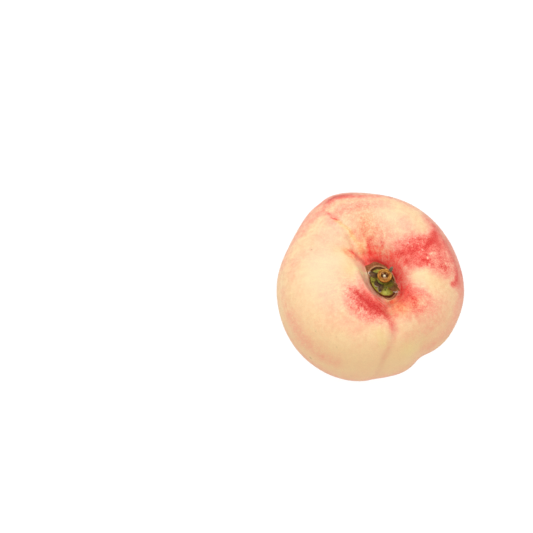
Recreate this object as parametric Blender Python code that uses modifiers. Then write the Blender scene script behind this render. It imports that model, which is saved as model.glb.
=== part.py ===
"""A flat peach as picked: the fruit, with the pad, dry calyx and cut stalk left in its stem cavity.

It lies on its flower end. +Z runs up through the stem cavity, X and Y lie in the surface that it rests on,
and the origin is under the middle of the fruit. Run it with: blender --background --python part.py
"""

import math

import bmesh
import bpy
import numpy as np
from mathutils import Vector

MM = 0.001

# Outside sizes of the fruit, and how much its own weight flattens the sole
FRUIT_WIDTH = 70.6 * MM
FRUIT_DEPTH = 72.5 * MM
FRUIT_HEIGHT = 41.2 * MM
SOLE_FLAT = 0.35 * MM

# The stalk stands off the fruit's middle, and the long axis of its seat lies across the fruit
STEM_AXIS = Vector((4.6 * MM, -3.1 * MM, 0))
SEAT_LENGTH = 17 * MM
SEAT_WIDTH = 11.4 * MM
SEAT_TURN = math.radians(124)
SEAT_HEIGHT = 28 * MM
GAP = 0.3 * MM

# Outline seen from above: a radius, and lobes as (degrees round from +X, spread in degrees, height)
OUTLINE_RADIUS = 34.6 * MM
OUTLINE_LOBES = (
    (116, 14, 3.0 * MM),
    (155, 12, -0.9 * MM),
    (236, 30, 1.4 * MM),
    (355, 12, 0.6 * MM),
    (308, 9, -1.8 * MM),
    (281, 9, -0.9 * MM),
    (30, 22, -0.4 * MM),
)

# Height of the cheeks' crest in the same way, and how far out it lies as a share of the outline
CREST_HEIGHT = 37 * MM
CREST_LOBES = (
    (195, 50, 4.0 * MM),
    (68, 40, 2.4 * MM),
    (0, 35, -1.0 * MM),
)
CREST_REACH = 0.56

# The cavity's wall rolls down to the seat. Behind the stalk it is a plainer slope, and on one side it stands
# up under the lip of the big cheek. Wall profiles are (share of the way out, share of the way up).
ROLL = ((0.12, 0.44), (0.36, 0.79), (0.68, 0.96))
SLOPE = ((0.22, 0.32), (0.48, 0.62), (0.76, 0.88))
SLOPE_LOBES = ((122, 26, 1.0),)
LIP_LOBES = ((212, 52, 1.25),)
LIP_DROP = 2.6 * MM
LIP_LEAN = 0.95 * MM
LIP_WALL = 0.62
LIP_SLOPE = 0.34

# Below the crest, ring by ring: (share of the outline, share of the height), the first of the crest's own
# height and the others of the fruit's. The last three make the hollow round the flower end.
SHOULDER = (0.90, 0.88)
FLANK = ((1.04, 0.47), (0.93, 0.07), (0.60, -0.02), (0.27, 0.05), (0, 0.11))

# Creases run over the skin from the cavity. A station is (ring, value), and rings count from the
# seat's middle at 0 to the sole's middle at LAST_RING. Turns are in degrees, depths and widths in metres.
LAST_RING = 11
CREASES = (
    {  # the suture behind the stalk, which is the deep one
        "turn": ((1.5, 120), (2.5, 127), (4, 124), (5, 122), (6, 124), (7, 122), (11, 122)),
        "depth": (
            (1, 0), (2.4, 1.6 * MM), (3.6, 2.2 * MM), (5, 1.5 * MM),
            (6, 0.7 * MM), (7, 0.4 * MM), (9, 0.6 * MM), (10.6, 0),
        ),
        "width": ((2, 1.4 * MM), (5, 2.4 * MM), (7, 4 * MM)),
    },
    {  # the suture in front, shallow over the shoulder
        "turn": ((2, -76), (4, -75), (5.4, -72), (6, -77.5), (6.6, -82.5), (7.3, -87), (11, -92)),
        "depth": (
            (1, 0), (2.4, 1.4 * MM), (3.6, 2.0 * MM), (5, 0.8 * MM),
            (6, 0.5 * MM), (7, 0.4 * MM), (9, 0.6 * MM), (10.6, 0),
        ),
        "width": ((2, 1.5 * MM), (5, 2.4 * MM), (7, 3.5 * MM)),
    },
    {  # a fold under the edge of the big cheek
        "turn": ((1.6, 136), (3, 142), (4, 145), (4.6, 149), (5.6, 153)),
        "depth": ((1.4, 0), (2.6, 0.8 * MM), (3.6, 1.1 * MM), (4.6, 0.7 * MM), (5.8, 0)),
        "width": ((2, 1.2 * MM), (5, 2.4 * MM)),
    },
    {  # a fold on the other side of the suture
        "turn": ((1.6, 116), (3, 114), (4, 112), (5.4, 113)),
        "depth": ((1.4, 0), (2.6, 0.4 * MM), (3.6, 0.6 * MM), (4.6, 0.4 * MM), (5.8, 0)),
        "width": ((2, 1.1 * MM), (5, 2.0 * MM)),
    },
    {  # a low swell on the right cheek, which is a crease turned outwards
        "turn": ((2, 12), (8, 8)),
        "depth": ((2, 0), (3.6, -0.5 * MM), (5, -0.6 * MM), (6.6, 0)),
        "width": ((2, 4 * MM), (8, 6 * MM)),
    },
    {  # a dent low on the flank
        "turn": ((5, -52), (11, -56)),
        "depth": ((5.6, 0), (7, 0.9 * MM), (8.4, 0.8 * MM), (9.6, 0)),
        "width": ((5, 4 * MM), (9, 4 * MM)),
    },
)

# Mesh of the fruit: points round it, and rows of faces between one ring and the next
POINTS_ROUND = 84
ROWS_BETWEEN_RINGS = (2, 2, 3, 3, 4, 6, 6, 6, 5, 5, 4)

# The pad that joined the stalk to the fruit, and the cut stalk
PAD_LENGTH = 12.8 * MM
PAD_WIDTH = 8.6 * MM
PAD_THICKNESS = 2.6 * MM
STALK_RADIUS = 2.75 * MM
STALK_LENGTH = 3.6 * MM
STALK_FOOT = 0.62 * STALK_RADIUS
STALK_LEAN = math.radians(7)
STALK_OFFSET = Vector((0.33 * MM, 1.0 * MM, 0))

# The dry calyx: a collar round the stalk with the rests of its lobes as
# (degrees round, spread in degrees, reach past the collar, lift of the tip)
COLLAR_INNER = 2.4 * MM
COLLAR_OUTER = 3.0 * MM
COLLAR_THICKNESS = 0.8 * MM
SEPALS = (
    (161, 12, 3.0 * MM, 1.0 * MM),
    (220, 15, 1.3 * MM, 0.1 * MM),
    (256, 11, 2.8 * MM, -0.2 * MM),
    (315, 16, 5.2 * MM, 1.5 * MM),
    (47, 8, 2.1 * MM, 2.6 * MM),
)


def clear_scene():
    for obj in list(bpy.data.objects):
        bpy.data.objects.remove(obj)


def new_material(name, colour, roughness):
    material = bpy.data.materials.new(name)
    material.use_nodes = True
    shader = material.node_tree.nodes["Principled BSDF"]
    shader.inputs["Base Color"].default_value = (*colour, 1)
    shader.inputs["Roughness"].default_value = roughness
    shader.inputs["Metallic"].default_value = 0
    material.diffuse_color = (*colour, 1)
    return material


def new_object(name, bm, collection, material, smooth_below):
    """An object from a bmesh, shaded smooth apart from its edges sharper than the angle given."""
    mesh = bpy.data.meshes.new(name)
    bm.to_mesh(mesh)
    bm.free()
    mesh.materials.append(material)
    mesh.shade_smooth()
    mesh.set_sharp_from_angle(angle=smooth_below)
    obj = bpy.data.objects.new(name, mesh)
    collection.objects.link(obj)
    return obj


def lobes(angle, table):
    """Sum of bell-shaped lobes round a circle. Angle is in radians, the table's angles in degrees."""
    total = np.zeros_like(angle)
    for middle, spread, height in table:
        off = np.degrees(angle) - middle
        off = (off + 180) % 360 - 180
        total += height * np.exp(-0.5 * (off / spread) ** 2)
    return total


def eased(ring, stations):
    """Value at each ring, eased from station to station so that it has no kink."""
    rings, values = (np.array(column, float) for column in zip(*stations))
    last = len(rings) - 1
    index = np.clip(np.searchsorted(rings, ring) - 1, 0, last - 1)
    share = np.clip((ring - rings[index]) / (rings[index + 1] - rings[index]), 0, 1)
    share = share * share * (3 - 2 * share)
    return values[index] + (values[index + 1] - values[index]) * share


def ellipse_radius(angle, length, width, turn):
    along, across = np.cos(angle - turn) * 2 / length, np.sin(angle - turn) * 2 / width
    return 1 / np.hypot(along, across)


def ring_points(angle, centre, radius, height):
    x = centre[0] + radius * np.cos(angle)
    y = centre[1] + radius * np.sin(angle)
    return np.stack([x, y, height + 0 * angle], -1)


def fruit_cage(angle):
    """Control points of the fruit's meridians: one array for each ring from the seat to the sole."""
    outline = OUTLINE_RADIUS + lobes(angle, OUTLINE_LOBES)
    crest_height = CREST_HEIGHT + lobes(angle, CREST_LOBES)
    slope = lobes(angle, SLOPE_LOBES)[:, None]
    steep = np.clip(lobes(angle, LIP_LOBES), 0, 1)[:, None]
    seat = ellipse_radius(angle, SEAT_LENGTH, SEAT_WIDTH, SEAT_TURN)
    middle = Vector((0, 0, 0))

    seat_edge = ring_points(angle, STEM_AXIS, seat, SEAT_HEIGHT)
    crest = ring_points(angle, STEM_AXIS * 0.5, CREST_REACH * outline, crest_height)
    lip = ring_points(angle, STEM_AXIS, seat + LIP_LEAN, crest_height - LIP_DROP)
    lip_wall = (seat_edge + (lip - seat_edge) * LIP_WALL, lip, lip + (crest - lip) * LIP_SLOPE)

    def wall(profile):
        return [seat_edge + (crest - seat_edge) * (out, out, up) for out, up in profile]

    soft_wall = [a + (b - a) * slope for a, b in zip(wall(ROLL), wall(SLOPE))]

    return [
        ring_points(angle, STEM_AXIS, 0 * seat, SEAT_HEIGHT),
        seat_edge,
        *(soft + (hard - soft) * steep for soft, hard in zip(soft_wall, lip_wall)),
        crest,
        ring_points(angle, middle, SHOULDER[0] * outline, SHOULDER[1] * crest_height),
        *(ring_points(angle, middle, out * outline, up * FRUIT_HEIGHT) for out, up in FLANK),
    ]


def on_cage(cage, ring):
    """Point on the cubic B-spline through the cage's rings, mirrored at both ends to close its poles."""
    axis_low, axis_high = cage[0], cage[-1]
    rings = np.stack([2 * axis_low - cage[1], *cage, 2 * axis_high - cage[-2]])
    rings[0, :, 2] = cage[1][:, 2]
    rings[-1, :, 2] = cage[-2][:, 2]
    first = np.clip(np.floor(ring).astype(int), 0, LAST_RING - 1)
    f = ring - first
    weights = (
        (1 - f) ** 3,
        3 * f**3 - 6 * f**2 + 4,
        -3 * f**3 + 3 * f**2 + 3 * f + 1,
        f**3,
    )
    rows = np.arange(len(ring))
    return sum(w[:, None] / 6 * rings[first + i, rows] for i, w in enumerate(weights))


def plain_surface(angle, ring):
    return on_cage(fruit_cage(angle), ring)


def crease_depth(angle, ring, radius):
    depth = np.zeros_like(angle)
    for crease in CREASES:
        off = angle - np.radians(eased(ring, crease["turn"]))
        off = (off + np.pi) % (2 * np.pi) - np.pi
        width = eased(ring, crease["width"])
        depth += eased(ring, crease["depth"]) / (1 + (off * radius / width) ** 2)
    return depth


def fruit_surface(angle, ring):
    """The plain surface with its creases pressed in along the normal."""
    step = 1e-3
    point = plain_surface(angle, ring)
    round_it = plain_surface(angle + step, ring) - plain_surface(angle - step, ring)
    inner, outer = np.maximum(ring - step, 0), np.minimum(ring + step, LAST_RING)
    down_it = plain_surface(angle, outer) - plain_surface(angle, inner)
    normal = np.cross(down_it, round_it)
    length = np.linalg.norm(normal, axis=1, keepdims=True)
    normal = np.where(length > 1e-15, normal / np.maximum(length, 1e-15), 0)
    radius = np.linalg.norm(round_it, axis=1) / (2 * step)
    return point - normal * crease_depth(angle, ring, radius)[:, None]


def fit_to_sizes(point):
    """The points scaled and shifted to the fruit's outside sizes, then flattened where it rests."""
    low, high = point.min(0), point.max(0)
    sizes = np.array([FRUIT_WIDTH, FRUIT_DEPTH, FRUIT_HEIGHT + SOLE_FLAT])
    base = np.array([(low[0] + high[0]) / 2, (low[1] + high[1]) / 2, low[2]])
    fitted = (point - base) * sizes / (high - low)
    fitted[:, 2] = np.maximum(fitted[:, 2] - SOLE_FLAT, 0)
    return fitted


def make_fruit(collection, material):
    """The fruit from a sphere primitive, each vertex moved to its place. Returns the seat's middle."""
    rows = sum(ROWS_BETWEEN_RINGS)
    row_rings = [ring + i / count for ring, count in enumerate(ROWS_BETWEEN_RINGS) for i in range(count)]
    row_rings.append(LAST_RING)

    bm = bmesh.new()
    bmesh.ops.create_uvsphere(bm, u_segments=POINTS_ROUND, v_segments=rows, radius=1)
    bm.verts.ensure_lookup_table()
    place = np.array([v.co for v in bm.verts])
    row = np.rint(np.arccos(np.clip(place[:, 2], -1, 1)) / np.pi * rows).astype(int)
    angle = np.arctan2(place[:, 1], place[:, 0])
    point = fit_to_sizes(fruit_surface(angle, np.array(row_rings)[row]))
    for vert, co in zip(bm.verts, point):
        vert.co = co
    new_object("fruit", bm, collection, material, math.radians(60))
    return Vector(point[row == 0][0])


def make_pad(seat, collection, material):
    """The receptacle: an oval pad, flatter than an ellipsoid, lying in the seat."""
    bm = bmesh.new()
    bmesh.ops.create_uvsphere(bm, u_segments=32, v_segments=12, radius=1)
    for vert in bm.verts:
        x, y, z = vert.co
        fullness = math.copysign(abs(z) ** 0.75, z)
        vert.co = Vector((x * PAD_LENGTH, y * PAD_WIDTH, fullness * PAD_THICKNESS)) / 2
    pad = new_object("receptacle", bm, collection, material, math.radians(60))
    pad.location = seat + Vector((0, 0, GAP + PAD_THICKNESS / 2))
    pad.rotation_euler.z = SEAT_TURN


def make_stalk(foot, collection, material):
    """The cut stalk: a turned profile with a rolled bark rim, a ring of wood and a pith."""
    r, length = STALK_RADIUS, STALK_LENGTH
    profile = (
        (0, length - 0.1 * MM),
        (0.20 * r, length - 0.15 * MM),
        (0.30 * r, length - 0.55 * MM),
        (0.50 * r, length - 0.45 * MM),
        (0.60 * r, length - 0.1 * MM),
        (0.72 * r, length - 0.4 * MM),
        (0.84 * r, length),
        (0.96 * r, length - 0.2 * MM),
        (r, length - 0.8 * MM),
        (0.93 * r, length - 1.4 * MM),
        (0.80 * r, length - 1.9 * MM),
        (0.70 * r, length * 0.34),
        (0.72 * r, length * 0.15),
        (STALK_FOOT, 0),
        (0, 0),
    )
    bm = bmesh.new()
    verts = [bm.verts.new((x, 0, z)) for x, z in profile]
    for a, b in zip(verts, verts[1:]):
        bm.edges.new((a, b))
    stalk = new_object("stalk", bm, collection, material, math.radians(35))
    screw = stalk.modifiers.new("Turn", "SCREW")
    screw.steps = screw.render_steps = 28
    screw.use_merge_vertices = True
    screw.merge_threshold = 0.00001
    stalk.location = foot + Vector((0, 0, GAP + STALK_FOOT * math.sin(STALK_LEAN)))
    stalk.rotation_euler.y = STALK_LEAN


def make_calyx(foot, collection, material):
    """The dry calyx: a flattened torus whose outer edge is drawn out into ragged lobes."""
    bpy.ops.mesh.primitive_torus_add(major_segments=72, minor_segments=10, major_radius=1, minor_radius=0.5)
    calyx = bpy.context.object
    calyx.name = calyx.data.name = "calyx"
    for vert in calyx.data.vertices:
        angle = math.atan2(vert.co.y, vert.co.x)
        across = math.hypot(vert.co.x, vert.co.y) - 0.5
        reach, lift = 0, 0
        for middle, spread, length, rise in SEPALS:
            off = (math.degrees(angle) - middle + 180) % 360 - 180
            share = math.exp(-0.5 * (off / spread) ** 2)
            reach += length * share
            lift += rise * share
        radius = COLLAR_INNER + (COLLAR_OUTER - COLLAR_INNER + reach) * across
        height = COLLAR_THICKNESS * vert.co.z + lift * across**2
        vert.co = Vector((radius * math.cos(angle), radius * math.sin(angle), height))
    calyx.data.materials.append(material)
    calyx.data.shade_smooth()
    calyx.location = foot + Vector((0, 0, GAP + COLLAR_THICKNESS / 2))
    for owner in list(calyx.users_collection):
        owner.objects.unlink(calyx)
    collection.objects.link(calyx)


def main():
    clear_scene()
    collection = bpy.data.collections.new("flat_peach")
    bpy.context.scene.collection.children.link(collection)
    skin = new_material("skin", (0.93, 0.62, 0.38), 0.65)
    green = new_material("green_pad", (0.30, 0.36, 0.06), 0.5)
    dry = new_material("dry_calyx", (0.20, 0.15, 0.10), 0.8)
    wood = new_material("cut_wood", (0.50, 0.28, 0.09), 0.75)

    seat = make_fruit(collection, skin)
    make_pad(seat, collection, green)
    foot = seat + STALK_OFFSET + Vector((0, 0, GAP + PAD_THICKNESS))
    make_stalk(foot, collection, wood)
    make_calyx(foot, collection, dry)


main()
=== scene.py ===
import math

import bpy
import numpy as np
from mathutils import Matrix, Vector, noise


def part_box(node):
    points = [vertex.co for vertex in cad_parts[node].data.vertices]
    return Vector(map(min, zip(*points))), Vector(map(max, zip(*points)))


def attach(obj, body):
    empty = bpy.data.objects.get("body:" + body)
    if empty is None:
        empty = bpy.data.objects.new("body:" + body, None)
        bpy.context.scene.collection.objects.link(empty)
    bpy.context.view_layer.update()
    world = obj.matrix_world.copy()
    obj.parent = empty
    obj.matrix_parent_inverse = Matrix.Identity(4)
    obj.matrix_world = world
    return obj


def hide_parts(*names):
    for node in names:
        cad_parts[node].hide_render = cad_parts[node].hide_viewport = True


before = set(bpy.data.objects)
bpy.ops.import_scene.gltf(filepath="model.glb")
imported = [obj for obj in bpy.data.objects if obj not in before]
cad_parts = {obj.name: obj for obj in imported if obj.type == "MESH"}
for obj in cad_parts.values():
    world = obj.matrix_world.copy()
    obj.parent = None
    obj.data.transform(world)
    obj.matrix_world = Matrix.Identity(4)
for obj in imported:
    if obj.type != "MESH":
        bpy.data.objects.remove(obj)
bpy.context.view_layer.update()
mm = 0.001
tiny = 1e-15  # the least length that is divided by

# The fruit's surface, in the words of its source: rings run from the seat's middle (0) to the
# sole's (11), turns are degrees round the fruit, counted from +X.
fruit = {
    "box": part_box("fruit"),
    "soleFlat": 0.35 * mm,
    "stemAxis": np.array((4.6 * mm, -3.1 * mm, 0.0)),
    "seat": (17 * mm, 11.4 * mm, math.radians(124), 28 * mm),  # length, width, turn, height
    "outlineRadius": 34.6 * mm,
    "outlineLobes": (
        (116, 14, 3.0 * mm), (155, 12, -0.9 * mm), (236, 30, 1.4 * mm), (355, 12, 0.6 * mm),
        (308, 9, -1.8 * mm), (281, 9, -0.9 * mm), (30, 22, -0.4 * mm),
    ),
    "crestHeight": 37 * mm,
    "crestLobes": ((195, 50, 4.0 * mm), (68, 40, 2.4 * mm), (0, 35, -1.0 * mm)),
    "crestReach": 0.56,
    "crestShift": 0.5,  # how far the crest's middle follows the stem axis
    "roll": ((0.12, 0.44), (0.36, 0.79), (0.68, 0.96)),
    "slope": ((0.22, 0.32), (0.48, 0.62), (0.76, 0.88)),
    "slopeLobes": ((122, 26, 1.0),),
    "lipLobes": ((212, 52, 1.25),),
    "lipDrop": 2.6 * mm,
    "lipLean": 0.95 * mm,
    "lipWall": 0.62,
    "lipSlope": 0.34,
    "shoulder": (0.90, 0.88),
    "flank": ((1.04, 0.47), (0.93, 0.07), (0.60, -0.02), (0.27, 0.05), (0, 0.11)),
    "lastRing": 11,
    "flankHeight": 41.2 * mm,
    "meridians": 84,  # the points round the CAD fruit, and those from each of its rings to the next
    "pointsPerRing": (2, 2, 3, 3, 4, 6, 6, 6, 5, 5, 4),
}

# Creases pressed into the skin: (ring, turn), (ring, depth mm) and (ring, width mm)
creases = (
    {   # the suture behind the stalk
        "turn": ((1.5, 120), (2.5, 127), (4, 124), (5, 122), (6, 124), (7, 122), (11, 122)),
        "depth": ((1, 0), (2.4, 1.6), (3.6, 2.2), (5, 1.5), (6, 0.7), (7, 0.4), (9, 0.6), (10.6, 0)),
        "width": ((2, 1.4), (5, 2.4), (7, 4)),
    },
    {   # the suture in front
        "turn": ((2, -76), (4, -75), (5.4, -72), (6, -77.5), (6.6, -82.5), (7.3, -87), (11, -92)),
        "depth": ((1, 0), (2.4, 1.4), (3.6, 2.0), (5, 0.8), (6, 0.5), (7, 0.4), (9, 0.6), (10.6, 0)),
        "width": ((2, 1.5), (5, 2.4), (7, 3.5)),
    },
    {   # the fold under the big cheek
        "turn": ((1.6, 136), (3, 142), (4, 145), (4.6, 149), (5.6, 153)),
        "depth": ((1.4, 0), (2.6, 0.8), (3.6, 1.1), (4.6, 0.7), (5.8, 0)),
        "width": ((2, 1.2), (5, 2.4)),
    },
    {   # the fold on the suture's other side
        "turn": ((1.6, 116), (3, 114), (4, 112), (5.4, 113)),
        "depth": ((1.4, 0), (2.6, 0.4), (3.6, 0.6), (4.6, 0.4), (5.8, 0)),
        "width": ((2, 1.1), (5, 2.0)),
    },
    {   # the low swell on the right cheek
        "turn": ((2, 12), (8, 8)),
        "depth": ((2, 0), (3.6, -0.5), (5, -0.6), (6.6, 0)),
        "width": ((2, 4), (8, 6)),
    },
    {   # the dent low on the flank
        "turn": ((5, -52), (11, -56)),
        "depth": ((5.6, 0), (7, 0.9), (8.4, 0.8), (9.6, 0)),
        "width": ((5, 4), (9, 4)),
    },
)


def lobes(angle, table):
    # Soft swells round the turn, each (middle, spread, height)
    total = np.zeros_like(angle)
    for middle, spread, height in table:
        off = (np.degrees(angle) - middle + 180) % 360 - 180
        total += height * np.exp(-0.5 * (off / spread) ** 2)
    return total


def eased(ring, stations):
    # A value that eases from each station (ring, value) to the next
    rings, values = (np.array(column, float) for column in zip(*stations))
    index = np.clip(np.searchsorted(rings, ring) - 1, 0, len(rings) - 2)
    share = np.clip((ring - rings[index]) / (rings[index + 1] - rings[index]), 0, 1)
    share = share * share * (3 - 2 * share)
    return values[index] + (values[index + 1] - values[index]) * share


def evenly(value, start, over):
    # 0 up to the start, then evenly up to 1
    return np.clip((value - start) / over, 0, 1)


def ringPoints(angle, radius, height, centre=(0, 0)):
    x = centre[0] + radius * np.cos(angle)
    y = centre[1] + radius * np.sin(angle)
    return np.stack([x, y, height + 0 * angle], -1)


def fruitCage(angle):
    f = fruit
    stem = f["stemAxis"]
    outline = f["outlineRadius"] + lobes(angle, f["outlineLobes"])
    crestHeight = f["crestHeight"] + lobes(angle, f["crestLobes"])
    soft = lobes(angle, f["slopeLobes"])[:, None]
    steep = np.clip(lobes(angle, f["lipLobes"]), 0, 1)[:, None]
    seatLength, seatWidth, seatTurn, seatHeight = f["seat"]
    turned = angle - seatTurn
    seatRadius = 1 / np.hypot(np.cos(turned) * 2 / seatLength, np.sin(turned) * 2 / seatWidth)

    seatEdge = ringPoints(angle, seatRadius, seatHeight, stem)
    crest = ringPoints(angle, f["crestReach"] * outline, crestHeight, stem * f["crestShift"])
    lip = ringPoints(angle, seatRadius + f["lipLean"], crestHeight - f["lipDrop"], stem)
    lipWall = (seatEdge + (lip - seatEdge) * f["lipWall"], lip, lip + (crest - lip) * f["lipSlope"])
    rollWall = [seatEdge + (crest - seatEdge) * (out, out, up) for out, up in f["roll"]]
    slopeWall = [seatEdge + (crest - seatEdge) * (out, out, up) for out, up in f["slope"]]
    wall = [a + (b - a) * soft for a, b in zip(rollWall, slopeWall)]
    wall = [a + (b - a) * steep for a, b in zip(wall, lipWall)]
    return [
        ringPoints(angle, 0 * seatRadius, seatHeight, stem),
        seatEdge,
        *wall,
        crest,
        ringPoints(angle, f["shoulder"][0] * outline, f["shoulder"][1] * crestHeight),
        *(ringPoints(angle, out * outline, up * f["flankHeight"]) for out, up in f["flank"]),
    ]


def plainSurface(angle, ring):
    # A cubic B-spline down the rings of the cage, mirrored at both poles
    cage = fruitCage(angle)
    rings = np.stack([2 * cage[0] - cage[1], *cage, 2 * cage[-1] - cage[-2]])
    rings[0, :, 2] = cage[1][:, 2]
    rings[-1, :, 2] = cage[-2][:, 2]
    first = np.clip(np.floor(ring).astype(int), 0, fruit["lastRing"] - 1)
    f = ring - first
    weights = ((1 - f) ** 3, 3 * f**3 - 6 * f**2 + 4, -3 * f**3 + 3 * f**2 + 3 * f + 1, f**3)
    each = np.arange(len(ring))
    return sum(w[:, None] / 6 * rings[first + i, each] for i, w in enumerate(weights))


def creaseDepth(angle, ring, radius):
    depth = np.zeros_like(angle)
    for crease in creases:
        off = angle - np.radians(eased(ring, crease["turn"]))
        off = (off + np.pi) % (2 * np.pi) - np.pi
        width = eased(ring, crease["width"]) * mm
        depth += eased(ring, crease["depth"]) * mm / (1 + (off * radius / width) ** 2)
    return depth


def creasedSurface(angle, ring):
    step = 1e-3
    point = plainSurface(angle, ring)
    roundIt = plainSurface(angle + step, ring) - plainSurface(angle - step, ring)
    inner, outer = np.maximum(ring - step, 0), np.minimum(ring + step, fruit["lastRing"])
    downIt = plainSurface(angle, outer) - plainSurface(angle, inner)
    normal = np.cross(downIt, roundIt)
    length = np.linalg.norm(normal, axis=1, keepdims=True)
    normal = np.where(length > tiny, normal / np.maximum(length, tiny), 0)
    radius = np.linalg.norm(roundIt, axis=1) / (2 * step)
    return point - normal * creaseDepth(angle, ring, radius)[:, None]


def measureFruit():
    # The same scale and shift to the outside sizes that the CAD fruit had, from its own points
    count = fruit["meridians"]
    ring = [i + k / n for i, n in enumerate(fruit["pointsPerRing"]) for k in range(n)]
    ring = np.array(ring + [fruit["lastRing"]])
    angle = np.arange(count) * 2 * np.pi / count
    rings, angles = (a.ravel() for a in np.meshgrid(ring, angle, indexing="ij"))
    point = creasedSurface(angles, rings)
    low, high = point.min(0), point.max(0)
    boxLow, boxHigh = (np.array(corner) for corner in fruit["box"])
    sizes = boxHigh - boxLow + (0, 0, fruit["soleFlat"])
    base = np.array([(low[0] + high[0]) / 2, (low[1] + high[1]) / 2, low[2]])
    return base, sizes / (high - low)


fruitBase, fruitScale = measureFruit()


def fruitPoint(angle, ring):
    fitted = (creasedSurface(angle, ring) - fruitBase) * fruitScale
    fitted[:, 2] = np.maximum(fitted[:, 2] - fruit["soleFlat"], 0)
    return fitted


print("surface repeated from the fruit's own values")


# Small helpers for materials and meshes
class Maker:
    # Adds nodes to one material and links them
    def __init__(self, name):
        self.material = bpy.data.materials.new(name)
        self.material.use_nodes = True
        self.tree = self.material.node_tree
        self.shader = self.tree.nodes["Principled BSDF"]

    def put(self, socket, value):
        if hasattr(value, "node"):
            self.tree.links.new(value, socket)
        elif hasattr(value, "__len__") and len(value) == 3 and socket.type == "RGBA":
            socket.default_value = (*value, 1)
        else:
            socket.default_value = value

    def attribute(self, name, output="Fac"):
        node = self.tree.nodes.new("ShaderNodeAttribute")
        node.attribute_name = name
        return node.outputs[output]

    def objectPlace(self):
        return self.tree.nodes.new("ShaderNodeTexCoord").outputs["Object"]

    def grain(self, scale, detail=2.0, rough=0.5, vector=None):
        node = self.tree.nodes.new("ShaderNodeTexNoise")
        self.put(node.inputs["Vector"], self.objectPlace() if vector is None else vector)
        node.inputs["Scale"].default_value = scale
        node.inputs["Detail"].default_value = detail
        node.inputs["Roughness"].default_value = rough
        return node.outputs["Fac"]

    def spots(self, scale, middle, edge):
        # Small round spots: 1 up to the first distance from their middle, 0 from the second
        node = self.tree.nodes.new("ShaderNodeTexVoronoi")
        self.put(node.inputs["Vector"], self.objectPlace())
        node.inputs["Scale"].default_value = scale
        return self.remap(node.outputs["Distance"], middle, edge, 1.0, 0.0, smooth=True)

    def math(self, kind, a, b, clamp=False):
        node = self.tree.nodes.new("ShaderNodeMath")
        node.operation = kind
        node.use_clamp = clamp
        self.put(node.inputs[0], a)
        self.put(node.inputs[1], b)
        return node.outputs[0]

    def add(self, a, b, clamp=False):
        return self.math("ADD", a, b, clamp)

    def multiply(self, a, b):
        return self.math("MULTIPLY", a, b)

    def remap(self, value, fromLow, fromHigh, toLow=0.0, toHigh=1.0, smooth=False):
        node = self.tree.nodes.new("ShaderNodeMapRange")
        node.interpolation_type = "SMOOTHSTEP" if smooth else "LINEAR"
        self.put(node.inputs["Value"], value)
        node.inputs["From Min"].default_value = fromLow
        node.inputs["From Max"].default_value = fromHigh
        node.inputs["To Min"].default_value = toLow
        node.inputs["To Max"].default_value = toHigh
        return node.outputs[0]

    def mix(self, share, a, b, kind="MIX"):
        node = self.tree.nodes.new("ShaderNodeMix")
        node.data_type = "RGBA"
        node.blend_type = kind
        self.put(node.inputs["Factor"], share)
        self.put(node.inputs[6], a)
        self.put(node.inputs[7], b)
        return node.outputs[2]

    def tint(self, colour, by):
        return self.mix(1.0, colour, by, "MULTIPLY")

    def blend(self, value, low, high, colours):
        # From the first colour to the second as the value rises from low to high
        return self.mix(self.remap(value, low, high), *colours)

    def laid(self, name, below, above):
        # One colour over another where the mesh's attribute of this name says so
        return self.mix(self.attribute(name), below, above)

    def ramp(self, value, stops):
        node = self.tree.nodes.new("ShaderNodeValToRGB")
        self.put(node.inputs["Fac"], value)
        elements = node.color_ramp.elements
        while len(elements) < len(stops):
            elements.new(0.5)
        for element, (place, colour) in zip(elements, stops):
            element.position = place
            element.color = (*colour, 1)
        return node.outputs["Color"]

    def bump(self, height, strength, distance):
        node = self.tree.nodes.new("ShaderNodeBump")
        node.inputs["Strength"].default_value = strength
        node.inputs["Distance"].default_value = distance
        self.put(node.inputs["Height"], height)
        self.tree.links.new(node.outputs["Normal"], self.shader.inputs["Normal"])

    def finish(self, colour, roughness, specular, others=None):
        self.put(self.shader.inputs["Base Color"], colour)
        self.shader.inputs["Roughness"].default_value = roughness
        self.shader.inputs["Specular IOR Level"].default_value = specular
        for name, value in (others or {}).items():
            self.shader.inputs[name].default_value = value
        return self.material


def seen(red, green, blue):
    # A colour as it looks on a screen, turned into the light values that Blender mixes
    def one(v):
        v = v / 255
        return v / 12.92 if v <= 0.04045 else ((v + 0.055) / 1.055) ** 2.4
    return (one(red), one(green), one(blue))


def meshPiece(name, points, faces, material, attributes=None):
    mesh = bpy.data.meshes.new(name)
    mesh.from_pydata([tuple(p) for p in points], [], faces)
    for key, values in (attributes or {}).items():
        values = np.asarray(values, np.float32)
        kind = "FLOAT_VECTOR" if values.ndim == 2 else "FLOAT"
        layer = mesh.attributes.new(key, kind, "POINT")
        layer.data.foreach_set("vector" if kind == "FLOAT_VECTOR" else "value", values.ravel())
    mesh.shade_smooth()
    mesh.materials.append(material)
    obj = bpy.data.objects.new(name, mesh)
    bpy.context.scene.collection.objects.link(obj)
    return obj


def poleToPole(values, columns):
    # One value for each point of a grid wrapped round: a pole, rows of columns, a pole
    return np.concatenate([values[:1], np.repeat(values[1:-1], columns), values[-1:]])


def poleAngles(rows, columns):
    angle = np.arange(columns) * 2 * np.pi / columns
    return np.concatenate([[0.0], np.tile(angle, rows), [0.0]])


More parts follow.
